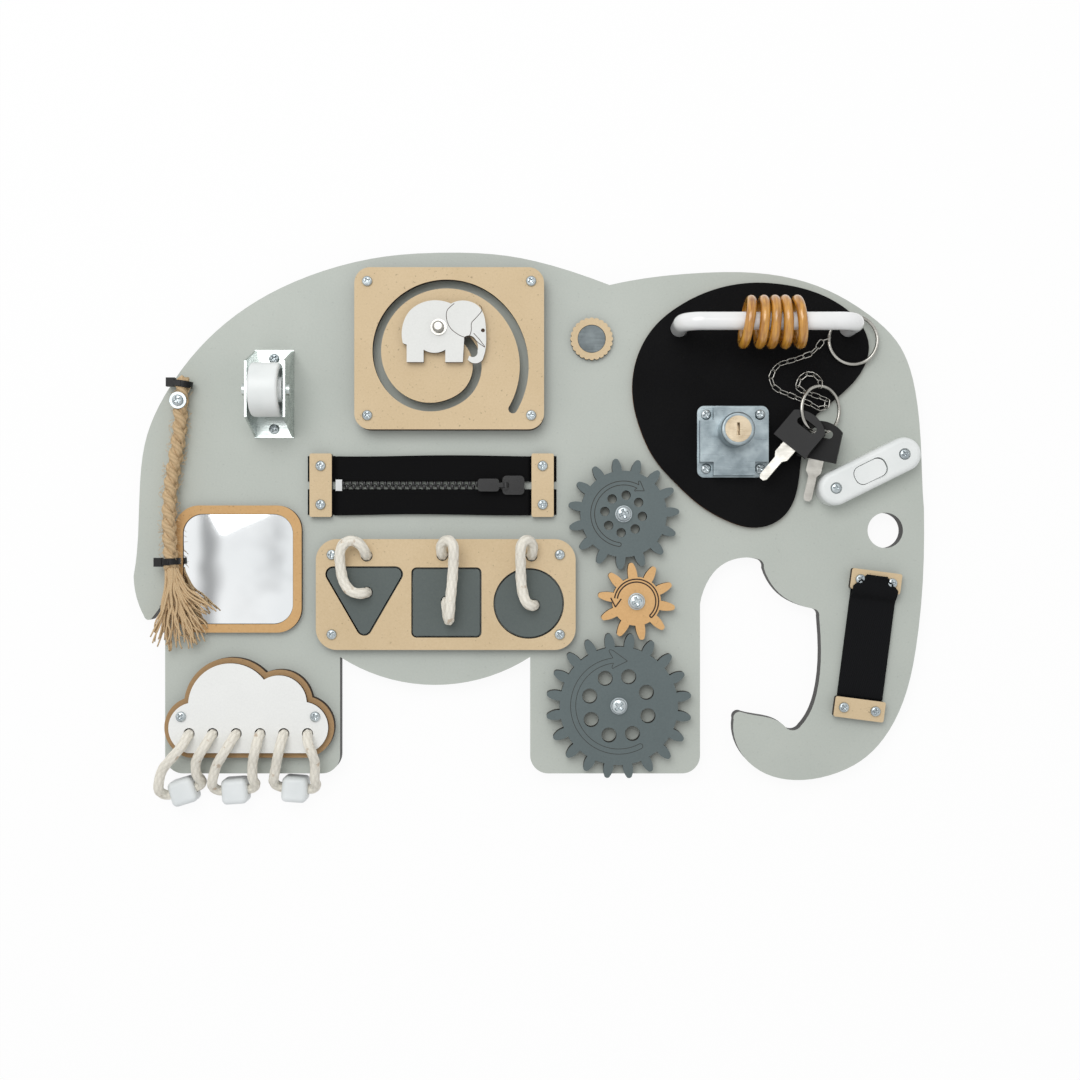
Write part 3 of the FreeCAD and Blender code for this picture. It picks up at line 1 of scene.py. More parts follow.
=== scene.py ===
import bpy
import numpy as np
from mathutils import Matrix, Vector


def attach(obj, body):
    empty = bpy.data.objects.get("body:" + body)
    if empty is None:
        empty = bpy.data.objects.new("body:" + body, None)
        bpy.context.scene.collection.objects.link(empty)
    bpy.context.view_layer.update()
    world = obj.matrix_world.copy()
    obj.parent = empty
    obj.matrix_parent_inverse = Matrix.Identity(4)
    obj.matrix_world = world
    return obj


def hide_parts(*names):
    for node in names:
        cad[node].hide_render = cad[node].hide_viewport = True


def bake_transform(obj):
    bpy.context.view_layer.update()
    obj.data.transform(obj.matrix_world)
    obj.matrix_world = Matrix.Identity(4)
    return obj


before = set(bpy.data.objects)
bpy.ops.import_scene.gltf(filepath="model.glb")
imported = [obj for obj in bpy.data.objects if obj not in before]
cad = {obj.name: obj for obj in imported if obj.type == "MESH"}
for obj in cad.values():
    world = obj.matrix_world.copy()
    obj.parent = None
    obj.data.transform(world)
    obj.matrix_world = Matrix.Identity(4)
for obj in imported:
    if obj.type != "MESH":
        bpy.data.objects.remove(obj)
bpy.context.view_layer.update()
mm = 0.001
chance = np.random.default_rng(7)

# camera, straight above the board
viewing = {"x": 6.4, "y": -13.5, "height": 830.0, "lens": 47.9, "sensor": 36.0}
cameraData = bpy.data.cameras.new("camera")
cameraData.lens = viewing["lens"]
cameraData.sensor_width = viewing["sensor"]
camera = bpy.data.objects.new("camera", cameraData)
camera.location = np.array([viewing["x"], viewing["y"], viewing["height"]]) * mm
bpy.context.collection.objects.link(camera)
bpy.context.scene.camera = camera
print("camera placed")


# mesh helpers: every surface is a grid of points worked out as whole arrays
def gridFaces(rows, cols, closeCols=False):
    # quads between neighbouring grid points, wrapped round where the columns close on themselves
    r = np.arange(rows - 1)[:, None]
    c = np.arange(cols if closeCols else cols - 1)[None, :]
    nextRow, nextCol = r + 1, (c + 1) % cols
    quads = np.stack([r * cols + c, r * cols + nextCol, nextRow * cols + nextCol, nextRow * cols + c], -1)
    return quads.reshape(-1, 4)


def gridUV(rows, cols, faces, high, wide, closeCols=False):
    # u runs along the rows in mm, v across the columns; a wrapped face keeps counting past the seam
    r, c = faces // cols, faces % cols
    if closeCols:
        c = np.where((c == 0) & (c.max(1, keepdims=True) == cols - 1), cols, c)
    return np.stack([r * high / max(rows - 1, 1), c * wide / cols], -1).reshape(-1, 2)


def joined(parts):
    # several (points, faces, uv) as one, each part's faces counted on from the points before it
    points, faces, uvs, start = [], [], [], 0
    for p, f, uv in parts:
        points.append(p)
        faces += [tuple(int(i) + start for i in corners) for corners in f]
        uvs.append(uv if uv is not None else np.zeros((sum(len(x) for x in f), 2)))
        start += len(p)
    return np.concatenate(points), faces, np.concatenate(uvs)


def makePiece(name, parts, material, body, smooth=True, spans=None):
    # one object that rides a body, or, where spans is given, stays unattached with its place baked into its
    # points
    points, faces, uv = joined(parts)
    mesh = bpy.data.meshes.new(name)
    mesh.from_pydata((points * mm).tolist(), [], faces)
    layer = mesh.uv_layers.new(name="UVMap")
    layer.data.foreach_set("uv", uv.astype(np.float32).ravel())
    mesh.polygons.foreach_set("use_smooth", np.full(len(mesh.polygons), smooth))
    mesh.materials.append(material)
    mesh.validate()
    mesh.update()
    piece = bpy.data.objects.new(name, mesh)
    bpy.context.collection.objects.link(piece)
    if spans:
        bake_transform(piece)
    else:
        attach(piece, body)
    return piece


def sharpen(piece, angle=35):
    # edges that turn by more than the angle, in degrees, are drawn sharp
    piece.data.set_sharp_from_angle(angle=np.radians(angle))


def lineOf(name, route, step):
    # smooth line of a cord: a NURBS spline on the route's points, read back and spaced evenly
    curve = bpy.data.curves.new(name + "Line", "CURVE")
    curve.dimensions = "3D"
    curve.resolution_u = 20
    spline = curve.splines.new("NURBS")
    spline.points.add(len(route) - 1)
    spline.points.foreach_set("co", np.c_[np.array(route) * mm, np.ones(len(route))].ravel())
    spline.order_u = 3
    spline.use_endpoint_u = True
    carrier = bpy.data.objects.new(name + "Line", curve)
    line = bpy.data.meshes.new_from_object(carrier)
    raw = np.empty(len(line.vertices) * 3)
    line.vertices.foreach_get("co", raw)
    raw = raw.reshape(-1, 3) / mm
    bpy.data.meshes.remove(line)
    bpy.data.objects.remove(carrier)
    bpy.data.curves.remove(curve)
    return evenly(raw, step)


def evenly(path, step):
    # the same line with its points a fixed step apart, read off its length so far
    far = np.r_[0, np.cumsum(np.linalg.norm(np.diff(path, axis=0), axis=1))]
    count = max(int(far[-1] / step), 3)
    at = np.linspace(0, far[-1], count)
    return np.stack([np.interp(at, far, path[:, k]) for k in range(3)], -1)


def lengthOf(path):
    return np.linalg.norm(np.diff(path, axis=0), axis=1).sum()


def framesOn(path):
    # direction along the line and two directions across it that don't spin
    along = np.gradient(path, axis=0)
    along /= np.linalg.norm(along, axis=1, keepdims=True)
    side = np.empty_like(path)
    start = np.cross(along[0], (0.0, 1.0, 0.0) if abs(along[0][1]) < 0.8 else (1.0, 0.0, 0.0))
    for n, way in enumerate(along):
        start = start - way * start.dot(way)
        start = start / np.linalg.norm(start)
        side[n] = start
    return along, side, np.cross(along, side)


def tubeOn(path, radius, sides, capped=True):
    # circle carried along a line; radius is a number, one for each point, or a grid
    along, side, over = framesOn(path)
    turn = np.linspace(0, 2 * np.pi, sides, endpoint=False)
    r = np.broadcast_to(np.asarray(radius, float).reshape(-1, 1) if np.ndim(radius) < 2 else radius,
                        (len(path), sides))
    ring = side[:, None] * np.cos(turn)[None, :, None] + over[:, None] * np.sin(turn)[None, :, None]
    points = (path[:, None] + ring * r[..., None]).reshape(-1, 3)
    faces = gridFaces(len(path), sides, closeCols=True)[:, ::-1]
    uv = gridUV(len(path), sides, faces, lengthOf(path), 1.0, closeCols=True)
    faceList = [tuple(f) for f in faces]
    if capped:
        last = (len(path) - 1) * sides
        faceList += [tuple(range(sides)), tuple(range(last + sides - 1, last - 1, -1))]
        uv = np.concatenate([uv, np.zeros((2 * sides, 2))])
    return points, faceList, uv


def revolved(profile, steps, mid=(0, 0, 0)):
    # profile of (radius, height) points turned about the vertical
    profile = np.asarray(profile, float)
    turn = np.linspace(0, 2 * np.pi, steps, endpoint=False)
    points = np.stack([profile[:, :1] * np.cos(turn), profile[:, :1] * np.sin(turn),
                       np.repeat(profile[:, 1:], steps, 1)], -1)
    faces = gridFaces(len(profile), steps, closeCols=True)
    uv = gridUV(len(profile), steps, faces, 1.0, 1.0, closeCols=True)
    return points.reshape(-1, 3) + np.array(mid), faces, uv


def turnedPoints(points, angle, mid):
    # points turned about the vertical by an angle in degrees, then moved to mid
    c, s = np.cos(np.radians(angle)), np.sin(np.radians(angle))
    spin = np.array([[c, s, 0], [-s, c, 0], [0, 0, 1]])
    return points @ spin + np.array(mid)


def ribbonOn(line, wide, z):
    # flat strip of even width along a line drawn on a face
    line = np.asarray(line, float)
    way = np.gradient(line, axis=0)
    way /= np.linalg.norm(way, axis=1, keepdims=True)
    across = np.stack([-way[:, 1], way[:, 0]], -1) * wide / 2
    flat = np.stack([line - across, line + across], 1)
    points = np.concatenate([flat, np.full((*flat.shape[:2], 1), float(z))], -1).reshape(-1, 3)
    faces = gridFaces(len(line), 2)[:, ::-1]
    return points, faces, gridUV(len(line), 2, faces, 1.0, 1.0)


def smoothLine(points, count=60):
    # cubic line through a few points, each span bent by its neighbours, with a mirrored point past either end
    p = np.asarray(points, float)
    p = np.concatenate([2 * p[:1] - p[1:2], p, 2 * p[-1:] - p[-2:-1]])
    spans = len(p) - 3
    t = np.linspace(0, spans, count)
    n = np.minimum(t.astype(int), spans - 1)
    f = (t - n)[:, None]
    a, b, c, d = p[n], p[n + 1], p[n + 2], p[n + 3]
    squared = (2 * a - 5 * b + 4 * c - d) * f ** 2
    cubed = (3 * b - a - 3 * c + d) * f ** 3
    return 0.5 * (2 * b + (c - a) * f + squared + cubed)


# material helpers
def colourOf(red, green, blue):
    # screen colour, 0 to 255, as the shader's linear values
    c = np.array([red, green, blue]) / 255
    return (*np.where(c <= 0.04045, c / 12.92, ((c + 0.055) / 1.055) ** 2.4), 1.0)


def put(tree, kind, feeds={}, **settings):
    # a new shader node with its settings, its inputs linked to sockets or set to values
    node = tree.nodes.new("ShaderNode" + kind)
    for key, value in settings.items():
        setattr(node, key, value)
    for key, value in feeds.items():
        if isinstance(value, bpy.types.NodeSocket):
            tree.links.new(value, node.inputs[key])
        else:
            node.inputs[key].default_value = value
    return node


def sums(tree, operation, first, second=0.0, third=0.0):
    return put(tree, "Math", {0: first, 1: second, 2: third}, operation=operation).outputs[0]


def between(tree, value, low, high, toLow=0.0, toHigh=1.0):
    return put(tree, "MapRange", {0: value, 1: low, 2: high, 3: toLow, 4: toHigh}).outputs[0]


def mixed(tree, factor, first, second, mode="MIX"):
    return put(tree, "Mix", {0: factor, 6: first, 7: second}, data_type="RGBA", blend_type=mode).outputs[2]


def noise(tree, vector, scale, detail=2.0, rough=0.5):
    feeds = {"Vector": vector, "Scale": scale, "Detail": detail, "Roughness": rough}
    return put(tree, "TexNoise", feeds).outputs[0]


def bumped(tree, shader, height, distance, strength=1.0):
    node = put(tree, "Bump", {"Height": height, "Distance": distance, "Strength": strength})
    tree.links.new(node.outputs[0], shader.inputs["Normal"])


def newMaterial(name, roughness=0.5, metallic=0.0, coat=0.0, gloss=0.5):
    material = bpy.data.materials.new(name)
    material.use_nodes = True
    tree = material.node_tree
    shader = tree.nodes["Principled BSDF"]
    shader.inputs["Roughness"].default_value = roughness
    shader.inputs["Metallic"].default_value = metallic
    shader.inputs["Coat Weight"].default_value = coat
    shader.inputs["Specular IOR Level"].default_value = gloss
    place = put(tree, "TexCoord")
    return material, tree, shader, place


def newGroup(name, takes, gives):
    tree = bpy.data.node_groups.new(name, "ShaderNodeTree")
    for label, kind in takes:
        tree.interface.new_socket(name=label, in_out="INPUT", socket_type="NodeSocket" + kind)
    for label, kind in gives:
        tree.interface.new_socket(name=label, in_out="OUTPUT", socket_type="NodeSocket" + kind)
    entry = tree.nodes.new("NodeGroupInput")
    leave = tree.nodes.new("NodeGroupOutput")
    return tree, entry.outputs, leave.inputs


def useGroup(tree, group, feeds):
    node = tree.nodes.new("ShaderNodeGroup")
    node.node_tree = group
    for key, value in feeds.items():
        if isinstance(value, bpy.types.NodeSocket):
            tree.links.new(value, node.inputs[key])
        else:
            node.inputs[key].default_value = value
    return node.outputs


# fibre flecks: broad clouding, fine grit and a few dark specks
fleckGroup, taken, given = newGroup("fibreFlecks", [("Vector", "Vector"), ("Grit", "Float")],
                                    [("Tone", "Float"), ("Speck", "Float"), ("Height", "Float")])
broad = noise(fleckGroup, taken["Vector"], 28.0, 3.0)
fine = noise(fleckGroup, taken["Vector"], taken["Grit"], 4.0, 0.65)
spots = noise(fleckGroup, taken["Vector"], 620.0, 1.0)
tone = sums(fleckGroup, "MULTIPLY_ADD", broad, 0.45, sums(fleckGroup, "MULTIPLY", fine, 0.55))
fleckGroup.links.new(tone, given["Tone"])
fleckGroup.links.new(between(fleckGroup, spots, 0.68, 0.80), given["Speck"])
fleckGroup.links.new(fine, given["Height"])

# cut edge: the walls of a sheet, told by their normal, with soot that thins towards the faces
cutGroup, taken, given = newGroup("cutEdge", [("Vector", "Vector"), ("Normal", "Vector")],
                                  [("Wall", "Float"), ("Soot", "Float")])
upright = sums(cutGroup, "ABSOLUTE", put(cutGroup, "SeparateXYZ", {0: taken["Normal"]}).outputs[2])
cutGroup.links.new(between(cutGroup, upright, 0.75, 0.35), given["Wall"])
cutGroup.links.new(noise(cutGroup, taken["Vector"], 260.0, 3.0), given["Soot"])

# fine scratches of a brushed or worn metal face
brushGroup, taken, given = newGroup("brushing", [("Vector", "Vector"), ("Turn", "Vector")],
                                    [("Streak", "Float"), ("Cloud", "Float")])
stretched = put(brushGroup, "Mapping", {"Vector": taken["Vector"], "Rotation": taken["Turn"],
                                        "Scale": (60.0, 2200.0, 400.0)}).outputs[0]
brushGroup.links.new(noise(brushGroup, stretched, 1.0, 3.0), given["Streak"])
brushGroup.links.new(noise(brushGroup, taken["Vector"], 120.0, 3.0), given["Cloud"])

# plain weave on the cloth's own map, in threads a millimetre
weaveGroup, taken, given = newGroup("weave", [("Map", "Vector"), ("Threads", "Float")],
                                    [("Height", "Float"), ("Thread", "Float")])
parted = put(weaveGroup, "SeparateXYZ", {0: taken["Map"]})
waves = []
for axis in (0, 1):
    count = sums(weaveGroup, "MULTIPLY", parted.outputs[axis], taken["Threads"])
    waves.append(sums(weaveGroup, "SINE", sums(weaveGroup, "MULTIPLY", count, np.pi)))
checker = sums(weaveGroup, "MULTIPLY", waves[0], waves[1])
weaveGroup.links.new(sums(weaveGroup, "MULTIPLY_ADD", checker, 0.5, 0.5), given["Height"])
weaveGroup.links.new(noise(weaveGroup, taken["Map"], 3.0, 2.0), given["Thread"])
print("shared effects made")


def sheetMaterial(name, face, wall, shade, roughness, coat=0.0, grit=900.0, bumpDeep=0.00004, speckle=0.5,
                  gloss=0.35):
    # painted or raw board with dark laser cut walls
    material, tree, shader, place = newMaterial(name, roughness, coat=coat, gloss=gloss)
    fleck = useGroup(tree, fleckGroup, {"Vector": place.outputs["Object"], "Grit": grit})
    cut = useGroup(tree, cutGroup, {"Vector": place.outputs["Object"], "Normal": place.outputs["Normal"]})
    toned = mixed(tree, between(tree, fleck["Tone"], 0.3, 0.7), colourOf(*shade), colourOf(*face))
    specked = mixed(tree, sums(tree, "MULTIPLY", fleck["Speck"], speckle), toned,
                    colourOf(*[c * 0.62 for c in shade]))
    paler = colourOf(*[c * 1.45 + 4 for c in wall])
    burnt = mixed(tree, between(tree, cut["Soot"], 0.35, 0.7), colourOf(*wall), paler)
    tree.links.new(mixed(tree, cut["Wall"], specked, burnt), shader.inputs["Base Color"])
    bumped(tree, shader, fleck["Height"], bumpDeep)
    return material


def metalMaterial(name, bright, dim, roughness, turn=0.0, bumpDeep=0.00002, spread=0.12):
    # plated metal: broad clouds between two tones, and fine scratches that vary the roughness
    material, tree, shader, place = newMaterial(name, roughness, 1.0)
    brush = useGroup(tree, brushGroup, {"Vector": place.outputs["Object"], "Turn": (0, 0, np.radians(turn))})
    cloud = between(tree, brush["Cloud"], 0.3, 0.7)
    tree.links.new(mixed(tree, cloud, colourOf(*dim), colourOf(*bright)), shader.inputs["Base Color"])
    tree.links.new(between(tree, brush["Streak"], 0.2, 0.8, roughness - spread, roughness + spread),
                   shader.inputs["Roughness"])
    bumped(tree, shader, brush["Streak"], bumpDeep)
    return material


def plasticMaterial(name, colour, shade, roughness, scale=700.0, bumpDeep=0.00003, coat=0.0, gloss=0.5):
    # moulded or painted surface: faint clouding and a fine grain
    material, tree, shader, place = newMaterial(name, roughness, coat=coat, gloss=gloss)
    grain = noise(tree, place.outputs["Object"], scale, 3.0)
    cloud = noise(tree, place.outputs["Object"], 60.0, 2.0)
    tree.links.new(mixed(tree, between(tree, cloud, 0.3, 0.7), colourOf(*shade), colourOf(*colour)),
                   shader.inputs["Base Color"])
    bumped(tree, shader, grain, bumpDeep)
    return material


def clothMaterial(name, colour, shade, threads, roughness=0.9, deep=0.00012):
    # woven tape: the weave lifts its threads in the bump, and the same weave height paints the raised threads
    # lighter and the low points darker (painted light and shade), each thread a little different in tone
    material, tree, shader, place = newMaterial(name, roughness, gloss=0.12)
    weave = useGroup(tree, weaveGroup, {"Map": place.outputs["UV"], "Threads": threads})
    # painted light and shade from the weave height, plus a random tone for each thread
    lit = sums(tree, "MULTIPLY_ADD", weave["Height"], 0.6, sums(tree, "MULTIPLY", weave["Thread"], 0.4))
    tree.links.new(mixed(tree, lit, colourOf(*shade), colourOf(*colour)), shader.inputs["Base Color"])
    bumped(tree, shader, weave["Height"], deep)
    return material


def cordMaterial(name, colour, shade, speck, fuzz=1400.0, deep=0.00025, sunk=0.3):
    # cotton or jute: fine fibres along the strands, with painted shade that darkens the hollows between them
    material, tree, shader, place = newMaterial(name, 0.95, gloss=0.15)
    fibres = noise(tree, place.outputs["Object"], fuzz, 4.0, 0.7)
    patches = noise(tree, place.outputs["Object"], 160.0, 3.0)
    hollowShade = put(tree, "Attribute", attribute_name="hollowShade").outputs["Fac"]
    base = mixed(tree, between(tree, fibres, 0.3, 0.7), colourOf(*shade), colourOf(*colour))
    soiled = sums(tree, "MULTIPLY", between(tree, patches, 0.64, 0.72), 0.6)
    flecked = mixed(tree, soiled, base, colourOf(*speck))
    # painted shade: the hollows are mixed towards a darker copy of the shade colour, by the hollow value
    # times sunk
    hollowShadeColour = colourOf(*[c * 0.7 for c in shade])
    tone = mixed(tree, sums(tree, "MULTIPLY", hollowShade, sunk), flecked, hollowShadeColour)
    tree.links.new(tone, shader.inputs["Base Color"])
    bumped(tree, shader, fibres, deep)
    return material


def dress(node, material):
    cad[node].material_slots[0].material = material


finish = {
    "board": sheetMaterial("boardPaint", (190, 195, 188), (24, 22, 20), (180, 186, 179), 0.55, speckle=0.15),
    "ear": sheetMaterial("earPaint", (20, 20, 21), (92, 62, 40), (9, 9, 10), 0.9, grit=1500.0,
                         bumpDeep=0.0003, speckle=0.0, gloss=0.12),
    "fibreboard": sheetMaterial("rawFibreboard", (217, 195, 160), (34, 22, 15), (203, 180, 143), 0.75),
    "spacer": sheetMaterial("spacerFibreboard", (200, 174, 134), (46, 32, 22), (184, 156, 116), 0.8),
    "frame": sheetMaterial("frameFibreboard", (211, 172, 120), (62, 42, 26), (196, 154, 102), 0.7),
    "cloudBack": sheetMaterial("cloudFibreboard", (178, 146, 106), (44, 30, 20), (160, 128, 90), 0.75),
    "white": sheetMaterial("whitePaint", (240, 241, 239), (52, 38, 28), (230, 231, 229), 0.5, speckle=0.05),
    "figureWhite": sheetMaterial("figurePaint", (229, 230, 227), (52, 36, 26), (219, 220, 217), 0.55,
                                 speckle=0.05),
    "shape": sheetMaterial("shapePaint", (97, 105, 103), (16, 15, 14), (87, 95, 94), 0.65, speckle=0.1,
                           gloss=0.25),
    "gearGrey": sheetMaterial("gearPaint", (100, 111, 112), (24, 19, 16), (91, 101, 102), 0.55, speckle=0.1,
                              gloss=0.25),
    "gearTan": sheetMaterial("gearStain", (220, 178, 124), (40, 25, 15), (202, 158, 104), 0.6, speckle=0.3),
    "zinc": metalMaterial("zincPlate", (214, 220, 217), (178, 186, 184), 0.3, 20),
    "screwZinc": metalMaterial("screwZinc", (196, 204, 206), (150, 158, 162), 0.32, 20),
    "nickel": metalMaterial("nickelPlate", (190, 188, 182), (150, 148, 142), 0.24),
    "blade": metalMaterial("bladeNickel", (186, 184, 178), (146, 144, 138), 0.42, 12, 0.00004),
    "magnet": metalMaterial("magnetFace", (108, 115, 117), (82, 88, 90), 0.5, 45, 0.00005),
    "lock": metalMaterial("lockZinc", (160, 171, 175), (120, 131, 136), 0.34, 8, 0.00003),
    "plug": metalMaterial("plugBrass", (206, 192, 168), (172, 154, 128), 0.32),
    "whitePlastic": plasticMaterial("whitePlastic", (234, 237, 236), (225, 229, 228), 0.35, gloss=0.4),
    "handle": plasticMaterial("whiteEnamel", (240, 241, 241), (231, 232, 232), 0.18, bumpDeep=0.000004,
                              coat=0.6),
    "cube": plasticMaterial("cubePaint", (232, 236, 237), (221, 226, 227), 0.4, 400.0, gloss=0.4),
    "black": plasticMaterial("blackPlastic", (11, 11, 12), (6, 6, 7), 0.45, 900.0, gloss=0.25),
    "zipBlack": plasticMaterial("zipGloss", (9, 9, 10), (4, 4, 5), 0.22, 300.0, 0.00001, coat=0.25,
                                gloss=0.4),
    "tie": plasticMaterial("tieNylon", (12, 12, 13), (7, 7, 8), 0.42, gloss=0.3),
    "stop": plasticMaterial("stopMetal", (226, 228, 228), (206, 208, 208), 0.35),
    "tape": clothMaterial("zipTape", (17, 17, 18), (5, 5, 6), 2.6),
    "strap": clothMaterial("strapTape", (25, 26, 28), (7, 7, 8), 1.9),
    # sunk sets how strongly painted shade darkens the hollows between strands
    "cotton": cordMaterial("cottonCord", (248, 245, 236), (236, 230, 215), (176, 142, 104)),
    "jute": cordMaterial("juteFibre", (222, 197, 160), (190, 160, 120), (150, 116, 78), 2200.0, sunk=0.45),
    "engraved": plasticMaterial("engravedLine", (66, 46, 34), (44, 30, 22), 0.8),
    "greyLine": plasticMaterial("scoredLine", (54, 52, 48), (40, 38, 34), 0.8),
}


# lacquered rings: dark grain streaks round the turned wood
def ringMaterial():
    material, tree, shader, place = newMaterial("ringWood", 0.2, coat=0.8)
    stretched = put(tree, "Mapping", {"Vector": place.outputs["Object"], "Scale": (700.0, 90.0, 90.0)})
    grain = noise(tree, stretched.outputs[0], 1.0, 5.0, 0.6)
    patch = noise(tree, place.outputs["Object"], 90.0, 2.0)
    base = mixed(tree, between(tree, grain, 0.3, 0.62), colourOf(158, 100, 32), colourOf(210, 152, 58))
    tree.links.new(mixed(tree, between(tree, patch, 0.58, 0.8, 0.0, 0.7), base, colourOf(108, 62, 18)),
                   shader.inputs["Base Color"])
    bumped(tree, shader, grain, 0.00005)
    return material


# mirror: silvered sheet with the slight waves of acrylic
def mirrorMaterial():
    material, tree, shader, place = newMaterial("mirrorSilver", 0.03, 1.0)
    waves = put(tree, "Mapping", {"Vector": place.outputs["Object"], "Scale": (1.0, 0.35, 1.0)}).outputs[0]
    wave = noise(tree, waves, 26.0, 1.0)
    haze = noise(tree, place.outputs["Object"], 12.0, 3.0)
    silver = mixed(tree, between(tree, haze, 0.3, 0.7), colourOf(226, 230, 232), colourOf(244, 246, 247))
    tree.links.new(silver, shader.inputs["Base Color"])
    bumped(tree, shader, wave, 0.00004)
    return material


finish["ring"] = ringMaterial()
finish["mirror"] = mirrorMaterial()
print("materials made:", len(finish))

# CAD pieces whose shape is right only get their finish
dressing = {
    "board": ["main_board"],
    "ear": ["ear_panel"],
    "spacer": ["spiral_spacer"],
    "fibreboard": ["spiral_panel", "magnet_rosette", "zipper_clamps", "sorter_panel", "velcro_bars"],
    "frame": ["mirror_frame"],
    "cloudBack": ["cloud_back"],
    "white": ["cloud_front"],
    "figureWhite": ["figure_plate"],
    "shape": ["shape_triangle", "shape_square", "shape_circle"],
    "gearGrey": ["gear_large", "gear_medium"],
    "gearTan": ["gear_small"],
    "zinc": ["caster_bracket", "caster_axle", "handle_screws", "lock_bolt"],
    "nickel": ["figure_bolt", "key_chain", "split_rings"],
    "blade": ["key_blades"],
    "magnet": ["magnet_disc"],
    "lock": ["lock_body"],
    "plug": ["lock_plug"],
    "whitePlastic": ["caster_wheel", "switch_body", "switch_rocker"],
    "handle": ["pull_handle"],
    "cube": ["loop_cubes"],
    "black": ["key_heads"],
    "zipBlack": ["zipper_slider", "zipper_pull"],
    "tie": ["tail_ties"],
    "stop": ["zipper_stop"],
    "mirror": ["mirror_glass"],
    "ring": ["ring_1", "ring_2", "ring_3", "ring_4", "ring_5"],
}
for key, names in dressing.items():
    for node in names:
        dress(node, finish[key])
print("CAD pieces dressed")

# cords, in mm; each route starts and ends hidden under its panel
shapeCords = {
    "diameter": 6.0, "strands": 6, "lay": 4.4,
    "triangle": [(-91.8, -22.4, 11.0), (-91.8, -22.4, 18.4), (-92.6, -18.4, 22.6), (-95.6, -14.8, 24.4),
                 (-100.4, -13.4, 25.0), (-104.6, -16.4, 24.8), (-106.2, -21.6, 23.8), (-105.8, -28.8, 22.2),
                 (-104.6, -36.4, 21.2), (-100.8, -42.2, 21.8), (-95.6, -43.8, 23.2), (-91.6, -43.2, 19.8),
                 (-91.6, -43.2, 11.0)],
    "square": [(-48.9, -22.0, 11.0), (-48.9, -22.0, 18.6), (-49.4, -18.6, 21.6), (-48.4, -15.0, 23.8),
               (-45.0, -13.2, 27.0), (-42.2, -15.4, 29.4), (-41.6, -20.0, 29.0), (-42.0, -26.4, 26.4),
               (-42.6, -34.0, 24.6), (-43.2, -41.2, 25.4), (-43.8, -48.0, 26.8), (-44.2, -54.8, 27.0),
               (-44.6, -58.6, 24.4), (-45.2, -58.2, 20.2), (-46.0, -53.8, 19.2), (-46.6, -49.0, 18.6),
               (-46.6, -48.4, 15.6), (-46.6, -48.4, 11.0)],
    "circle": [(1.6, -22.4, 11.0), (1.6, -22.4, 18.6), (2.4, -18.8, 21.8), (2.0, -15.2, 24.0),
               (-0.8, -13.2, 27.2), (-3.8, -15.2, 29.4), (-4.6, -20.0, 28.9), (-4.4, -26.8, 26.2),
               (-4.4, -34.4, 23.4), (-3.6, -42.4, 23.2), (-1.6, -48.4, 24.2), (1.6, -50.6, 22.6),
               (3.2, -50.4, 18.2), (3.2, -50.4, 11.0)],
}
loops = {
    "diameter": 5.7, "cubeSide": 14.6, "hidden": 11.0, "rise": 21.2,
    "holeY": -122.8, "holeX": (-191.7, -178.4, -165.1, -151.6, -138.2, -124.8),
    "cubes": ((-197.2, -157.0, 17.0), (-167.6, -156.6, 4.0), (-133.4, -155.6, -4.0)),
    "bend": ((7.9, 0.0, 0.0), (11.0, 1.0, 0.9), (12.4, 3.6, 4.0), (11.4, 6.8, 8.8)),
    "down": ([(-192.8, -126.9, 25.2), (-196.2, -131.6, 26.0), (-201.6, -137.4, 24.0), (-207.4, -143.6, 19.4)],
             [(-167.4, -127.6, 25.6), (-171.4, -134.0, 25.2), (-176.2, -140.6, 20.4)],
             [(-138.8, -127.4, 25.6), (-140.2, -132.8, 25.2), (-142.0, -138.6, 20.4)]),
    "up": ([(-187.8, -138.6, 20.6), (-183.8, -132.6, 25.4), (-180.2, -127.2, 25.6)],
           [(-155.6, -139.2, 20.4), (-153.6, -133.0, 25.2), (-152.2, -127.4, 25.6)],
           [(-120.0, -139.4, 20.4), (-121.4, -132.8, 25.2), (-123.6, -127.2, 25.6)]),
}
tail = {
    "diameter": 8.7, "strands": 3, "lay": 24.0, "strandRadius": 2.35, "aside": 2.75, "over": 1.5,
    "yarns": 5, "hairs": 220, "hairFrom": 3.4, "hairOut": 3.0, "hairRadius": 0.11,
    "route": [(-195.4, 78.0, 16.0), (-197.2, 66.0, 15.7), (-197.4, 50.0, 15.4), (-200.2, 33.0, 15.6),
              (-202.6, 16.0, 17.4), (-202.9, 0.0, 19.9), (-202.2, -16.0, 20.1), (-201.4, -29.4, 20.0)],
}


def braidedTube(path, radius, strands, lay):
    # tube whose radius rises where two sets of crossing strands lie on top:
    # r = R (0.9 + 0.12 root(|sin a| |sin b|)), a and b winding opposite ways along the line
    sides = 40
    far = np.r_[0, np.cumsum(np.linalg.norm(np.diff(path, axis=0), axis=1))][:, None]
    turn = np.linspace(0, 2 * np.pi, sides, endpoint=False)[None, :]
    rise = np.abs(np.sin(strands * turn / 2 + np.pi * far / lay / 2))
    cross = np.abs(np.sin(strands * turn / 2 - np.pi * far / lay / 2))
    over = np.sqrt(rise * cross)
    # the second value is how far each point lies in a hollow, for the painted shade of the fibre material
    return tubeOn(path, radius * (0.9 + 0.12 * over), sides), 1 - over


def hollowShadeLayer(piece, hollowShade):
    # how deep a point lies between the strands, which the fibre material turns into painted shade
    values = np.zeros(len(piece.data.vertices), np.float32)
    values[:hollowShade.size] = np.clip(hollowShade, 0, 1).ravel()
    layer = piece.data.attributes.new("hollowShade", "FLOAT", "POINT")
    layer.data.foreach_set("value", values)


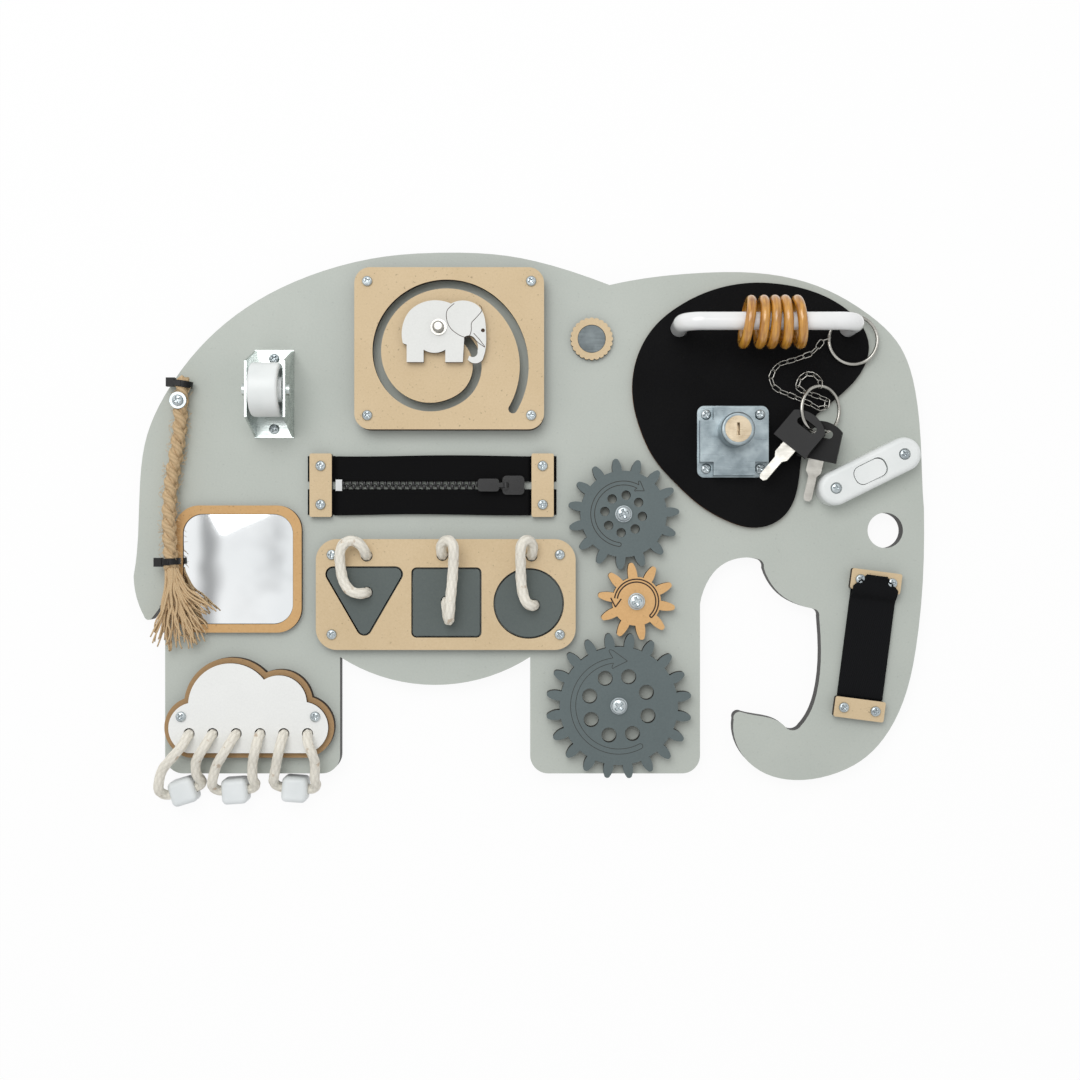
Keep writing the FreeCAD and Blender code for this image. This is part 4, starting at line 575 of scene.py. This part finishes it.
def cottonCord(name, route, diameter, node, shape=None):
    # braided cord along a route; a shape's cord is given spans, so it is left unattached to any body
    path = lineOf(name, route, 0.45)
    tube, hollowShade = braidedTube(path, diameter / 2, shapeCords["strands"], shapeCords["lay"])
    spans = {"to": shape, "start": route[1], "end": route[-2]} if shape else None
    piece = makePiece(name, [tube], finish["cotton"], "board", spans=spans)
    hollowShadeLayer(piece, hollowShade)
    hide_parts(node)
    print(name, "is", round(lengthOf(path), 1), "mm long")
    return piece


for shape in ("triangle", "square", "circle"):
    cottonCord("cord_" + shape, shapeCords[shape], shapeCords["diameter"], "shape_cord_" + shape, shape=shape)


def turnedOut(point, cube, side):
    # point of a loop beside its cube: side -1 leaves it on the left, 1 on the right, turned with the cube
    x, y, angle = cube
    c, s = np.cos(np.radians(angle)), np.sin(np.radians(angle))
    out, aside, up = side * point[0], point[1], point[2]
    return (x + c * out - s * aside, y + s * out + c * aside, loops["cubeSide"] / 2 + up)


for n, cube in enumerate(loops["cubes"]):
    left, right = loops["holeX"][2 * n], loops["holeX"][2 * n + 1]
    away = [turnedOut(p, cube, -1) for p in loops["bend"]][::-1]
    back = [turnedOut(p, cube, 1) for p in loops["bend"]]
    start = [(left, loops["holeY"], loops[key]) for key in ("hidden", "rise")]
    end = [(right, loops["holeY"], loops[key]) for key in ("rise", "hidden")]
    route = start + loops["down"][n] + away + back + loops["up"][n] + end
    cottonCord("loop_" + str(n + 1), route, loops["diameter"], "loop_cord_" + str(n + 1))


def tailRope():
    # flat plait of three: each strand swings aside by sin(a) and over and under by sin(2a), a third of
    # a lay apart, and its radius is rippled by its own yarns
    path = lineOf("tail", tail["route"], 0.6)
    along, side, over = framesOn(path)
    far = np.r_[0, np.cumsum(np.linalg.norm(np.diff(path, axis=0), axis=1))]
    parts, hollowShades = [], []
    sides = 22
    for k in range(tail["strands"]):
        turn = 2 * np.pi * (far / tail["lay"] + k / tail["strands"])
        swing = tail["aside"] * side * np.sin(turn)[:, None]
        line = path + swing + tail["over"] * over * np.sin(2 * turn)[:, None]
        around = np.linspace(0, 2 * np.pi, sides, endpoint=False)[None, :]
        ripple = np.abs(np.sin(tail["yarns"] * around / 2 + 1.1 * far[:, None]))
        parts.append(tubeOn(line, tail["strandRadius"] * (0.9 + 0.13 * ripple), sides))
        # the low points between the yarns, for the painted shade of the fibre material
        hollowShades.append((1 - ripple).ravel())
    for k in range(tail["hairs"]):
        # stray fibre: a short bent hair that leaves the rope sideways
        at, way = int(chance.integers(10, len(path) - 4)), chance.uniform(0, 2 * np.pi)
        out = side[at] * np.cos(way) + over[at] * np.sin(way)
        t = np.linspace(0, 1, 5)[:, None]
        bend = along[at] * chance.uniform(-4, 4) * t ** 1.5
        hair = path[at] + out * (tail["hairFrom"] + tail["hairOut"] * t) + bend
        parts.append(tubeOn(hair, tail["hairRadius"], 4))
    piece = makePiece("tailRope", parts, finish["jute"], "board")
    hollowShadeLayer(piece, np.concatenate(hollowShades))
    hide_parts("tail_rope")
    return piece, path


tailPiece, tailPath = tailRope()

# the tail's frayed end: loose yarns that fan out
tassel = {"yarns": 64, "yarnRadius": 0.72, "from": (-201.4, -29.0, 20.0), "bundle": 3.6,
          "long": (38.0, 49.0), "spread": 15.5, "lean": 3.0, "curlEvery": 6, "curl": 17.0, "droop": 2.2}


def frayedEnd():
    # each yarn falls by its own reach while it fans aside and waves; every sixth is short and curls off
    parts = []
    sides = 6
    for k in range(tassel["yarns"]):
        t = np.linspace(0, 1, 22)
        angle, near = chance.uniform(0, 2 * np.pi), tassel["bundle"] * np.sqrt(chance.uniform(0, 1))
        x0, z0 = near * np.cos(angle), near * np.sin(angle) * 0.9
        fan = chance.uniform(-1, 1)
        reach = chance.uniform(*tassel["long"]) * (1 - 0.16 * abs(fan) ** 2)
        curl = 0.0
        if k % tassel["curlEvery"] == 0:
            fan, reach, curl = 0.1 * fan, 0.6 * reach, tassel["curl"] * chance.uniform(0.85, 1.05)
        deep, waves, phase = chance.uniform(0.5, 1.5), chance.uniform(1.2, 2.6), chance.uniform(0, 1)
        wiggle = deep * np.sin(2 * np.pi * (t * waves + phase))
        aside = tassel["spread"] * fan * t ** 1.7 + tassel["lean"] * t ** 1.4 + curl * t ** 1.8
        x = x0 + aside + wiggle * t
        y = -reach * t + 0.6 * wiggle * t
        z = z0 * (1 - 0.25 * t) - tassel["droop"] * t ** 2 + chance.uniform(-1.4, 1.2) * t
        path = np.stack([x, y, z], -1) + np.array(tassel["from"])
        parts.append(tubeOn(path, tassel["yarnRadius"] * (1 - 0.45 * t ** 3), sides))
    piece = makePiece("tailTassel", parts, finish["jute"], "board")
    hollowShadeLayer(piece, np.zeros(1))
    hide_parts("tail_tassel")
    return piece


tasselPiece = frayedEnd()
print("cords and tail made")

# zipper: two tapes of cloth and their moulded teeth
zipper = {"midY": 17.6, "left": -126.0, "right": 15.8, "half": 17.1, "band": 2.2, "thick": 0.6, "under": 10.3,
          "over": 12.3, "rampLeft": (-111.8, -107.6), "rampRight": (-0.6, 1.6), "pitch": 4.0, "from": -105.5,
          "to": -9.6, "toothLong": 3.5, "toothWide": 1.9, "toothHigh": 2.2}


def zipHeight(x):
    # low under both clamps, lifted between them
    rise = np.clip((x - zipper["rampLeft"][0]) / (zipper["rampLeft"][1] - zipper["rampLeft"][0]), 0, 1)
    fall = np.clip((zipper["rampRight"][1] - x) / (zipper["rampRight"][1] - zipper["rampRight"][0]), 0, 1)
    lift = np.minimum(rise, fall)
    lift = lift * lift * (3 - 2 * lift)
    return zipper["under"] + (zipper["over"] - zipper["under"]) * lift


def zipTape(name, side, node):
    # cloth grid from the teeth to the outer edge, gently waved, with a raised band beside the teeth
    x = np.linspace(zipper["left"], zipper["right"], 240)[:, None]
    v = np.linspace(0, 1, 34)[None, :]
    edge = zipper["half"] - 0.35 - 0.35 * np.sin(x / 17.0 + side) * (zipHeight(x) > 11)
    y = zipper["band"] + (edge - zipper["band"]) * v
    ripple = 0.16 * np.sin(x / 9.0 + 3 * v + side) * v + 0.12 * np.sin(x / 23.0) * v
    cord = 0.28 * np.exp(-((y - 3.9) / 0.7) ** 2) + 0.1 * np.exp(-((y - edge + 0.8) / 0.5) ** 2)
    z = zipHeight(x) + (ripple + cord) * (zipHeight(x) > 12.0)
    grid = np.stack(np.broadcast_arrays(x, zipper["midY"] + side * y, z), -1)
    faces = gridFaces(*grid.shape[:2])
    if side > 0:
        faces = faces[:, ::-1]
    uv = gridUV(*grid.shape[:2], faces, zipper["right"] - zipper["left"], zipper["half"] - zipper["band"])
    faces = faces[:, ::-1]
    uv = uv.reshape(-1, 4, 2)[:, ::-1].reshape(-1, 2)
    piece = makePiece(name, [(grid.reshape(-1, 3), faces, uv)], finish["tape"], "board")
    wall = piece.modifiers.new("thickness", "SOLIDIFY")
    wall.thickness = zipper["thick"] * mm
    wall.offset = 0
    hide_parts(node)
    return piece


def toothBlock(x, side):
    # stem and rounded head of one tooth: an ellipse in plan, bulged at the head, domed above and below
    turn = np.linspace(0, 2 * np.pi, 14, endpoint=False)
    out = np.cos(turn)
    swell = 1 + 0.32 * np.clip(-out, 0, 1)
    rings = [(0.55, -1.0), (0.95, -0.6), (1.0, 0.0), (0.95, 0.6), (0.55, 1.0)]
    px = np.sin(turn) * zipper["toothWide"] / 2 * swell
    py = zipper["toothLong"] / 2 * out + 0.95
    mid = py.mean()
    layers = []
    for size, level in rings:
        height = np.full(14, level * zipper["toothHigh"] / 2)
        layers.append(np.stack([px * size, (py - mid) * size + mid, height], -1))
    points = np.concatenate(layers) * (1, side, 1) + (x, zipper["midY"], zipper["over"])
    faces = [tuple(f) for f in gridFaces(5, 14, closeCols=True)]
    faces += [tuple(range(13, -1, -1)), tuple(range(56, 70))]
    if side < 0:
        faces = [f[::-1] for f in faces]
    return points, faces, None


def zipTeeth():
    # two rows of teeth, half a pitch apart, so that they close between each other
    spots = np.arange(zipper["from"], zipper["to"], zipper["pitch"])
    parts = [toothBlock(x, 1) for x in spots] + [toothBlock(x + zipper["pitch"] / 2, -1) for x in spots]
    return makePiece("zipTeeth", [flipped(p) for p in parts], finish["zipBlack"], "board")


def flipped(part):
    # the same part with its faces turned the other way
    points, faces, uv = part
    return points, [tuple(f)[::-1] for f in faces], uv


zipTape("tapeUpper", 1, "zipper_tape_upper")
zipTape("tapeLower", -1, "zipper_tape_lower")
zipTeeth()
print("zipper made")

# hook and loop strap, drawn along its own length and then turned into place
strap = {"turn": -7.4, "mid": (197.0, -36.9, 0.0), "wide": 25.4, "thick": 1.4, "endHalf": 5.4,
         "stripFrom": -78.0, "stripTo": 4.8, "stripZ": 10.7,
         "flap": [(-67.0, 12.3), (-40.0, 12.35), (-14.0, 12.2), (-10.0, 12.9), (-7.6, 15.4), (-4.6, 16.4),
                  (0.0, 16.4), (3.2, 16.4)]}


def strapCloth(name, line, node, body, chamfer):
    # cloth carried along a side line (v, z); its end is cut back at both corners where chamfer is set
    flat = smoothLine([(0.0, v, z) for v, z in line], 140)
    u = np.linspace(-1, 1, 30)[None, :]
    v = flat[:, 1][:, None]
    half = np.full_like(v, strap["wide"] / 2)
    if chamfer:
        half = np.clip(strap["endHalf"] + (flat[-1, 1] - v), strap["endHalf"], strap["wide"] / 2)
    rib = 0.12 * np.sin(u * strap["wide"] / 2 / 0.55)
    grid = np.stack(np.broadcast_arrays(u * half, v, flat[:, 2][:, None] + rib), -1)
    faces = gridFaces(*grid.shape[:2])
    uv = gridUV(*grid.shape[:2], faces, lengthOf(flat), strap["wide"])
    faces = faces[:, ::-1]
    uv = uv.reshape(-1, 4, 2)[:, ::-1].reshape(-1, 2)
    points = turnedPoints(grid.reshape(-1, 3), strap["turn"], strap["mid"])
    piece = makePiece(name, [(points, faces, uv)], finish["strap"], body)
    wall = piece.modifiers.new("thickness", "SOLIDIFY")
    wall.thickness = strap["thick"] * 0.75 * mm
    wall.offset = 0
    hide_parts(node)
    return piece


strapCloth("strapLoop", [(strap["stripFrom"], strap["stripZ"]), (strap["stripTo"], strap["stripZ"])],
           "velcro_loop_strip", "board", False)
strapCloth("strapFlap", strap["flap"], "velcro_flap", "flap", True)
print("strap made")

# screws with a cross recess
screw = {"head": 5.8, "high": 1.8, "recess": 1.85, "slot": 0.5, "deep": 1.35, "steps": 48}


def crossHead(x, y, z, dia, high, turn, scale=1.0):
    # dome over a disc, sunk where the point lies in one arm of the cross
    rings = np.r_[np.linspace(0.02, 0.62, 22), np.linspace(0.68, 0.97, 6), 1.0, 1.0, 0.55]
    r = (rings * dia / 2)[:, None]
    a = np.linspace(0, 2 * np.pi, screw["steps"], endpoint=False)[None, :] + 0.001
    dome = high * (0.36 + 0.64 * np.sqrt(np.clip(1 - (r / (dia / 2)) ** 2.6, 0, 1)))
    dome[-2], dome[-1] = 0.0, 0.0
    px, py = r * np.cos(a), r * np.sin(a)
    arm = np.minimum(np.abs(px), np.abs(py))
    reach = np.maximum(np.abs(px), np.abs(py))
    narrow = np.clip((screw["slot"] * scale - arm) / 0.12, 0, 1)
    sunk = narrow * np.clip((screw["recess"] * scale - reach) / 0.16, 0, 1)
    middle = np.clip((0.78 * scale - np.hypot(px, py)) / 0.2, 0, 1)
    sunk = np.maximum(sunk * (1 - 0.45 * reach / (screw["recess"] * scale)), middle)
    zz = np.broadcast_to(dome, px.shape) - sunk * min(screw["deep"] * scale, high * 0.85)
    points = turnedPoints(np.stack([px, py, zz], -1).reshape(-1, 3), turn, (x, y, z))
    count = len(rings)
    faces = [tuple(f)[::-1] for f in gridFaces(count, screw["steps"], closeCols=True)]
    return points, faces + [tuple(range(screw["steps"]))], None


def cornersOf(mid, pitch):
    # the four corners of a rectangle of screws
    return [(mid[0] + a * pitch[0] / 2, mid[1] + b * pitch[1] / 2) for a in (-1, 1) for b in (-1, 1)]


def turnedSpot(point, mid, angle):
    # a spot in the plane, turned about mid by an angle in degrees
    c, s = np.cos(np.radians(angle)), np.sin(np.radians(angle))
    return (mid[0] + c * point[0] - s * point[1], mid[1] + s * point[0] + c * point[1])


# where each head sits: x, y and the height of the face under it
screwSpots = [(*p, 20.0) for p in cornersOf((-44.8, 94.6), (92.4, 75.6))]  # spiral panel
screwSpots += [(-145.0, 69.7 + s * 20.0, 11.2) for s in (-1, 1)]  # caster bracket
screwSpots += [(x, 17.6 + s * 11.0, 14.6) for x in (-118.1, 7.9) for s in (-1, 1)]  # zipper clamps
screwSpots += [(*p, 16.0) for p in cornersOf((-47.0, -44.4), (129.2, 45.2))]  # sorter panel
screwSpots += [(x, -113.2, 19.0) for x in (-196.2, -120.5)]  # cloud
screwSpots += [(*p, 14.4) for p in cornersOf((115.9, 42.3), (30.6, 30.6))]  # lock
screwSpots += [(*turnedSpot((x, 0), (192.1, 25.2), 26.4), 21.8) for x in (-21.5, 21.5)]  # switch
for v in (0, -73.2):
    # strap bars
    screwSpots += [(*turnedSpot((x, v), strap["mid"][:2], strap["turn"]), 15.4) for x in (-9, 9)]
panelHeads = makePiece("panelScrewHeads", [
    crossHead(x, y, z, screw["head"], screw["high"], chance.uniform(0, 90)) for x, y, z in screwSpots],
    finish["screwZinc"], "board")
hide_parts("panel_screws")

gears = {"large": (50.9939, -107.3598), "small": (61.0, -48.2), "medium": (53.7036, 1.2656), "top": 17.0,
         "washer": 9.6, "bore": 5.0, "head": 8.4}
gearParts = []
for mid in (gears["large"], gears["small"], gears["medium"]):
    outer, inner, top = gears["washer"] / 2, gears["bore"] / 2, gears["top"]
    ring = [(inner, top + 0.05), (outer - 0.15, top + 0.05), (outer, top + 0.2), (outer, top + 0.8),
            (outer - 0.15, top + 0.95), (inner, top + 0.95), (inner, top + 0.05)]
    gearParts.append(revolved(ring, 64, (*mid, 0)))
    low = [(inner, 10.0), (outer, 10.0), (outer, 10.95), (inner, 10.95), (inner, 10.0)]
    gearParts.append(revolved(low, 48, (*mid, 0)))
    angle = 45 if mid == gears["large"] else 20
    gearParts.append(crossHead(*mid, top + 0.95, gears["head"], 2.2, angle, 1.45))
gearHeads = makePiece("gearScrewHeads", gearParts, finish["screwZinc"], "board")
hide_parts("gear_screws")
sharpen(gearHeads)

tailScrew = {"mid": (-197.5, 65.2), "z": 20.25}
tailWasher = [(1.5, 0), (4.7, 0), (4.7, 1.0), (1.5, 1.0), (1.5, 0)]
tailParts = [revolved(tailWasher, 48, (*tailScrew["mid"], tailScrew["z"])),
             crossHead(*tailScrew["mid"], tailScrew["z"] + 1.0, 6.4, 1.8, 30, 1.1)]
tailHead = makePiece("tailScrewHead", tailParts, finish["screwZinc"], "board")
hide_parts("tail_screw")
sharpen(tailHead)
print("screws made:", len(screwSpots) + 4)

# engraved lines, a hair above the face they are scored in
scoreRise = 0.03
arrows = {"large": {"band": (24.4, 27.3), "from": -62.0, "to": 97.0, "tip": 81.0, "barbs": (21.4, 32.2),
                    "wide": 0.3},
          "medium": {"band": (16.4, 18.6), "from": -98.0, "to": 62.0, "tip": 50.0, "barbs": (14.4, 20.8),
                     "wide": 0.4}}


def arcLine(mid, radius, fromDeg, toDeg, count=60):
    # points on a circle between two angles
    a = np.radians(np.linspace(fromDeg, toDeg, count))
    return np.stack([mid[0] + radius * np.cos(a), mid[1] + radius * np.sin(a)], -1)


def arrowOutline(mid, look):
    # clockwise arrow: inner arc out to the head, two rounded barbs to the tip, outer arc back, round tail
    inner, outer = look["band"]
    tailEnd, headEnd = 360 + look["from"], look["to"]
    centre = (inner + outer) / 2

    def at(r, deg):
        return (mid[0] + r * np.cos(np.radians(deg)), mid[1] + r * np.sin(np.radians(deg)))

    back = headEnd + 3.0
    innerBarb = smoothLine([at(inner, headEnd), at(look["barbs"][0] + 0.9, back), 
                            at(look["barbs"][0], back - 1.0), at(look["barbs"][0] + 0.6, back - 4.0)], 14)
    outerBarb = smoothLine([at(look["barbs"][1] - 0.6, back - 4.0), at(look["barbs"][1], back - 1.0),
                            at(look["barbs"][1] - 0.9, back), at(outer, headEnd)], 14)
    tip = np.array([at(centre, look["tip"] - 2.0)])
    roundTail = arcLine(at(centre, tailEnd), (outer - inner) / 2, tailEnd, tailEnd + 180, 12)
    return np.concatenate([arcLine(mid, inner, tailEnd, headEnd, 110), innerBarb, tip, outerBarb,
                           arcLine(mid, outer, headEnd, tailEnd, 110), roundTail])


def lineTrue(points, step=0.4):
    # a flat line with its points evenly spaced
    flat = np.c_[points, np.zeros(len(points))]
    return evenly(flat, step)[:, :2]


for size in ("large", "medium"):
    line = lineTrue(arrowOutline(gears[size], arrows[size]))
    score = ribbonOn(line, arrows[size]["wide"], gears["top"] + scoreRise)
    makePiece("arrow_" + size, [score], finish["greyLine"], "gear_" + size, smooth=False)


def smallArrow():
    # two arcs side by side with an open head and a closed tail
    mid = gears["small"]
    arcs = [arcLine(mid, r, -48, 172, 120) for r in (10.9, 12.5)]
    tip = (mid[0] - 11.9, mid[1] - 3.2)
    head = np.array([(mid[0] - 14.6, mid[1] + 2.0), tip, (mid[0] - 8.6, mid[1] + 1.4)])
    end = np.array([arcs[0][0], arcs[1][0]])
    lines = arcs + [lineTrue(head, 0.3), lineTrue(end, 0.3)]
    scores = [ribbonOn(line, 0.8, gears["top"] + scoreRise) for line in lines]
    return makePiece("arrow_small", scores, finish["engraved"], "gear_small", smooth=False)


smallArrow()

# the figure's lines stand about its bolt
figure = {"mid": (-50.5, 105.9), "top": 24.0, "line": 0.36}


def figureLines():
    mid, z = np.array(figure["mid"]), figure["top"] + scoreRise
    ear = smoothLine([(8.8, 13.3), (4.9, 9.5), (4.5, 4.8), (6.3, 0.0), (9.9, -3.4), (14.4, -5.6),
                      (17.1, -5.0), (18.3, -2.0), (18.5, 2.3), (20.8, 5.0), (23.9, 8.6), (24.2, 10.9),
                      (22.8, 12.5)], 100)
    tusk = [smoothLine([(19.7, -3.4), (22.8, -6.8), (26.0, -11.0)], 30),
            smoothLine([(19.2, -5.4), (22.1, -8.6), (26.0, -11.3)], 30)]
    parts = [ribbonOn(mid + line, figure["line"], z) for line in (ear, *tusk)]
    eye = revolved([(0.02, 0.0), (1.1, 0.0)], 20, (*(mid + (24.9, -1.8)), z))
    return makePiece("figureLines", parts + [flipped((eye[0], eye[1], None))], finish["engraved"], "figure",
                     smooth=False)


figureLines()
print("engraving made")

# floor, lamp and world
studio = {"world": 0.62, "floorGlow": 0.93, "floorHalf": 6.0, "floorZ": -0.0003, "lamp": 9.0,
          "lampSize": 0.9, "lampAt": (-0.25, 0.55, 1.25)}


def floorStage():
    # a wide sheet just under the board, glowing white to rays that see it and pale paper to the rest
    mesh = bpy.data.meshes.new("floor")
    reach, level = studio["floorHalf"], studio["floorZ"]
    corners = [(a * reach, b * reach, level) for a, b in ((-1, -1), (1, -1), (1, 1), (-1, 1))]
    mesh.from_pydata(corners, [], [(0, 1, 2, 3)])
    material = bpy.data.materials.new("floorPaper")
    material.use_nodes = True
    tree = material.node_tree
    tree.nodes.clear()
    paper = put(tree, "BsdfDiffuse", {"Color": (0.9, 0.9, 0.9, 1)})
    glow = put(tree, "Emission", {"Color": (1, 1, 1, 1), "Strength": 1.0})
    ray = put(tree, "LightPath")
    seen = sums(tree, "MAXIMUM", ray.outputs["Is Camera Ray"],
                sums(tree, "MAXIMUM", ray.outputs["Is Glossy Ray"], ray.outputs["Is Transmission Ray"]))
    share = sums(tree, "MULTIPLY", seen, studio["floorGlow"])
    mix = put(tree, "MixShader", {0: share, 1: paper.outputs[0], 2: glow.outputs[0]})
    put(tree, "OutputMaterial", {0: mix.outputs[0]})
    mesh.materials.append(material)
    floor = bpy.data.objects.new("floor", mesh)
    bpy.context.collection.objects.link(floor)


def lamp(name, power, size, at):
    # square area lamp that faces the middle of the board
    data = bpy.data.lights.new(name, "AREA")
    data.energy = power
    data.size = size
    light = bpy.data.objects.new(name, data)
    light.location = at
    light.rotation_euler = (-Vector(at)).to_track_quat("-Z", "Y").to_euler()
    bpy.context.collection.objects.link(light)


def studioWorld():
    # plain white, but glossy rays also see a dark upright streak and soft clouds for the mirror to show
    world = bpy.data.worlds.new("studio")
    world.use_nodes = True
    tree = world.node_tree
    tree.nodes.clear()
    ray = put(tree, "LightPath")
    sky = put(tree, "TexCoord").outputs["Generated"]
    x = put(tree, "SeparateXYZ", {0: sky}).outputs[0]
    veined = sums(tree, "MULTIPLY_ADD", noise(tree, sky, 24.0, 2.0), 0.02, sums(tree, "ADD", x, -0.01))
    leftEdge, rightEdge = between(tree, veined, -0.236, -0.229), between(tree, veined, -0.217, -0.225)
    streak = sums(tree, "MULTIPLY", leftEdge, rightEdge)
    cloudy = sums(tree, "MULTIPLY", between(tree, noise(tree, sky, 34.0, 3.0), 0.46, 0.66),
                  between(tree, x, -0.214, -0.178))
    dark = sums(tree, "MULTIPLY_ADD", streak, 0.62, sums(tree, "MULTIPLY", cloudy, 0.3))
    grey = sums(tree, "SUBTRACT", 1.0, dark)
    glossy = put(tree, "CombineXYZ", {0: grey, 1: grey, 2: grey}).outputs[0]
    seen = sums(tree, "MAXIMUM", ray.outputs["Is Camera Ray"], ray.outputs["Is Transmission Ray"])
    soft = mixed(tree, ray.outputs["Is Glossy Ray"], (studio["world"],) * 3 + (1,), glossy)
    colour = mixed(tree, seen, soft, (1, 1, 1, 1))
    back = put(tree, "Background", {"Color": colour, "Strength": 1.0})
    put(tree, "OutputWorld", {0: back.outputs[0]})
    bpy.context.scene.world = world


floorStage()
lamp("keyLamp", studio["lamp"], studio["lampSize"], studio["lampAt"])
studioWorld()
bpy.context.scene.view_settings.view_transform = "Standard"
print("studio made")
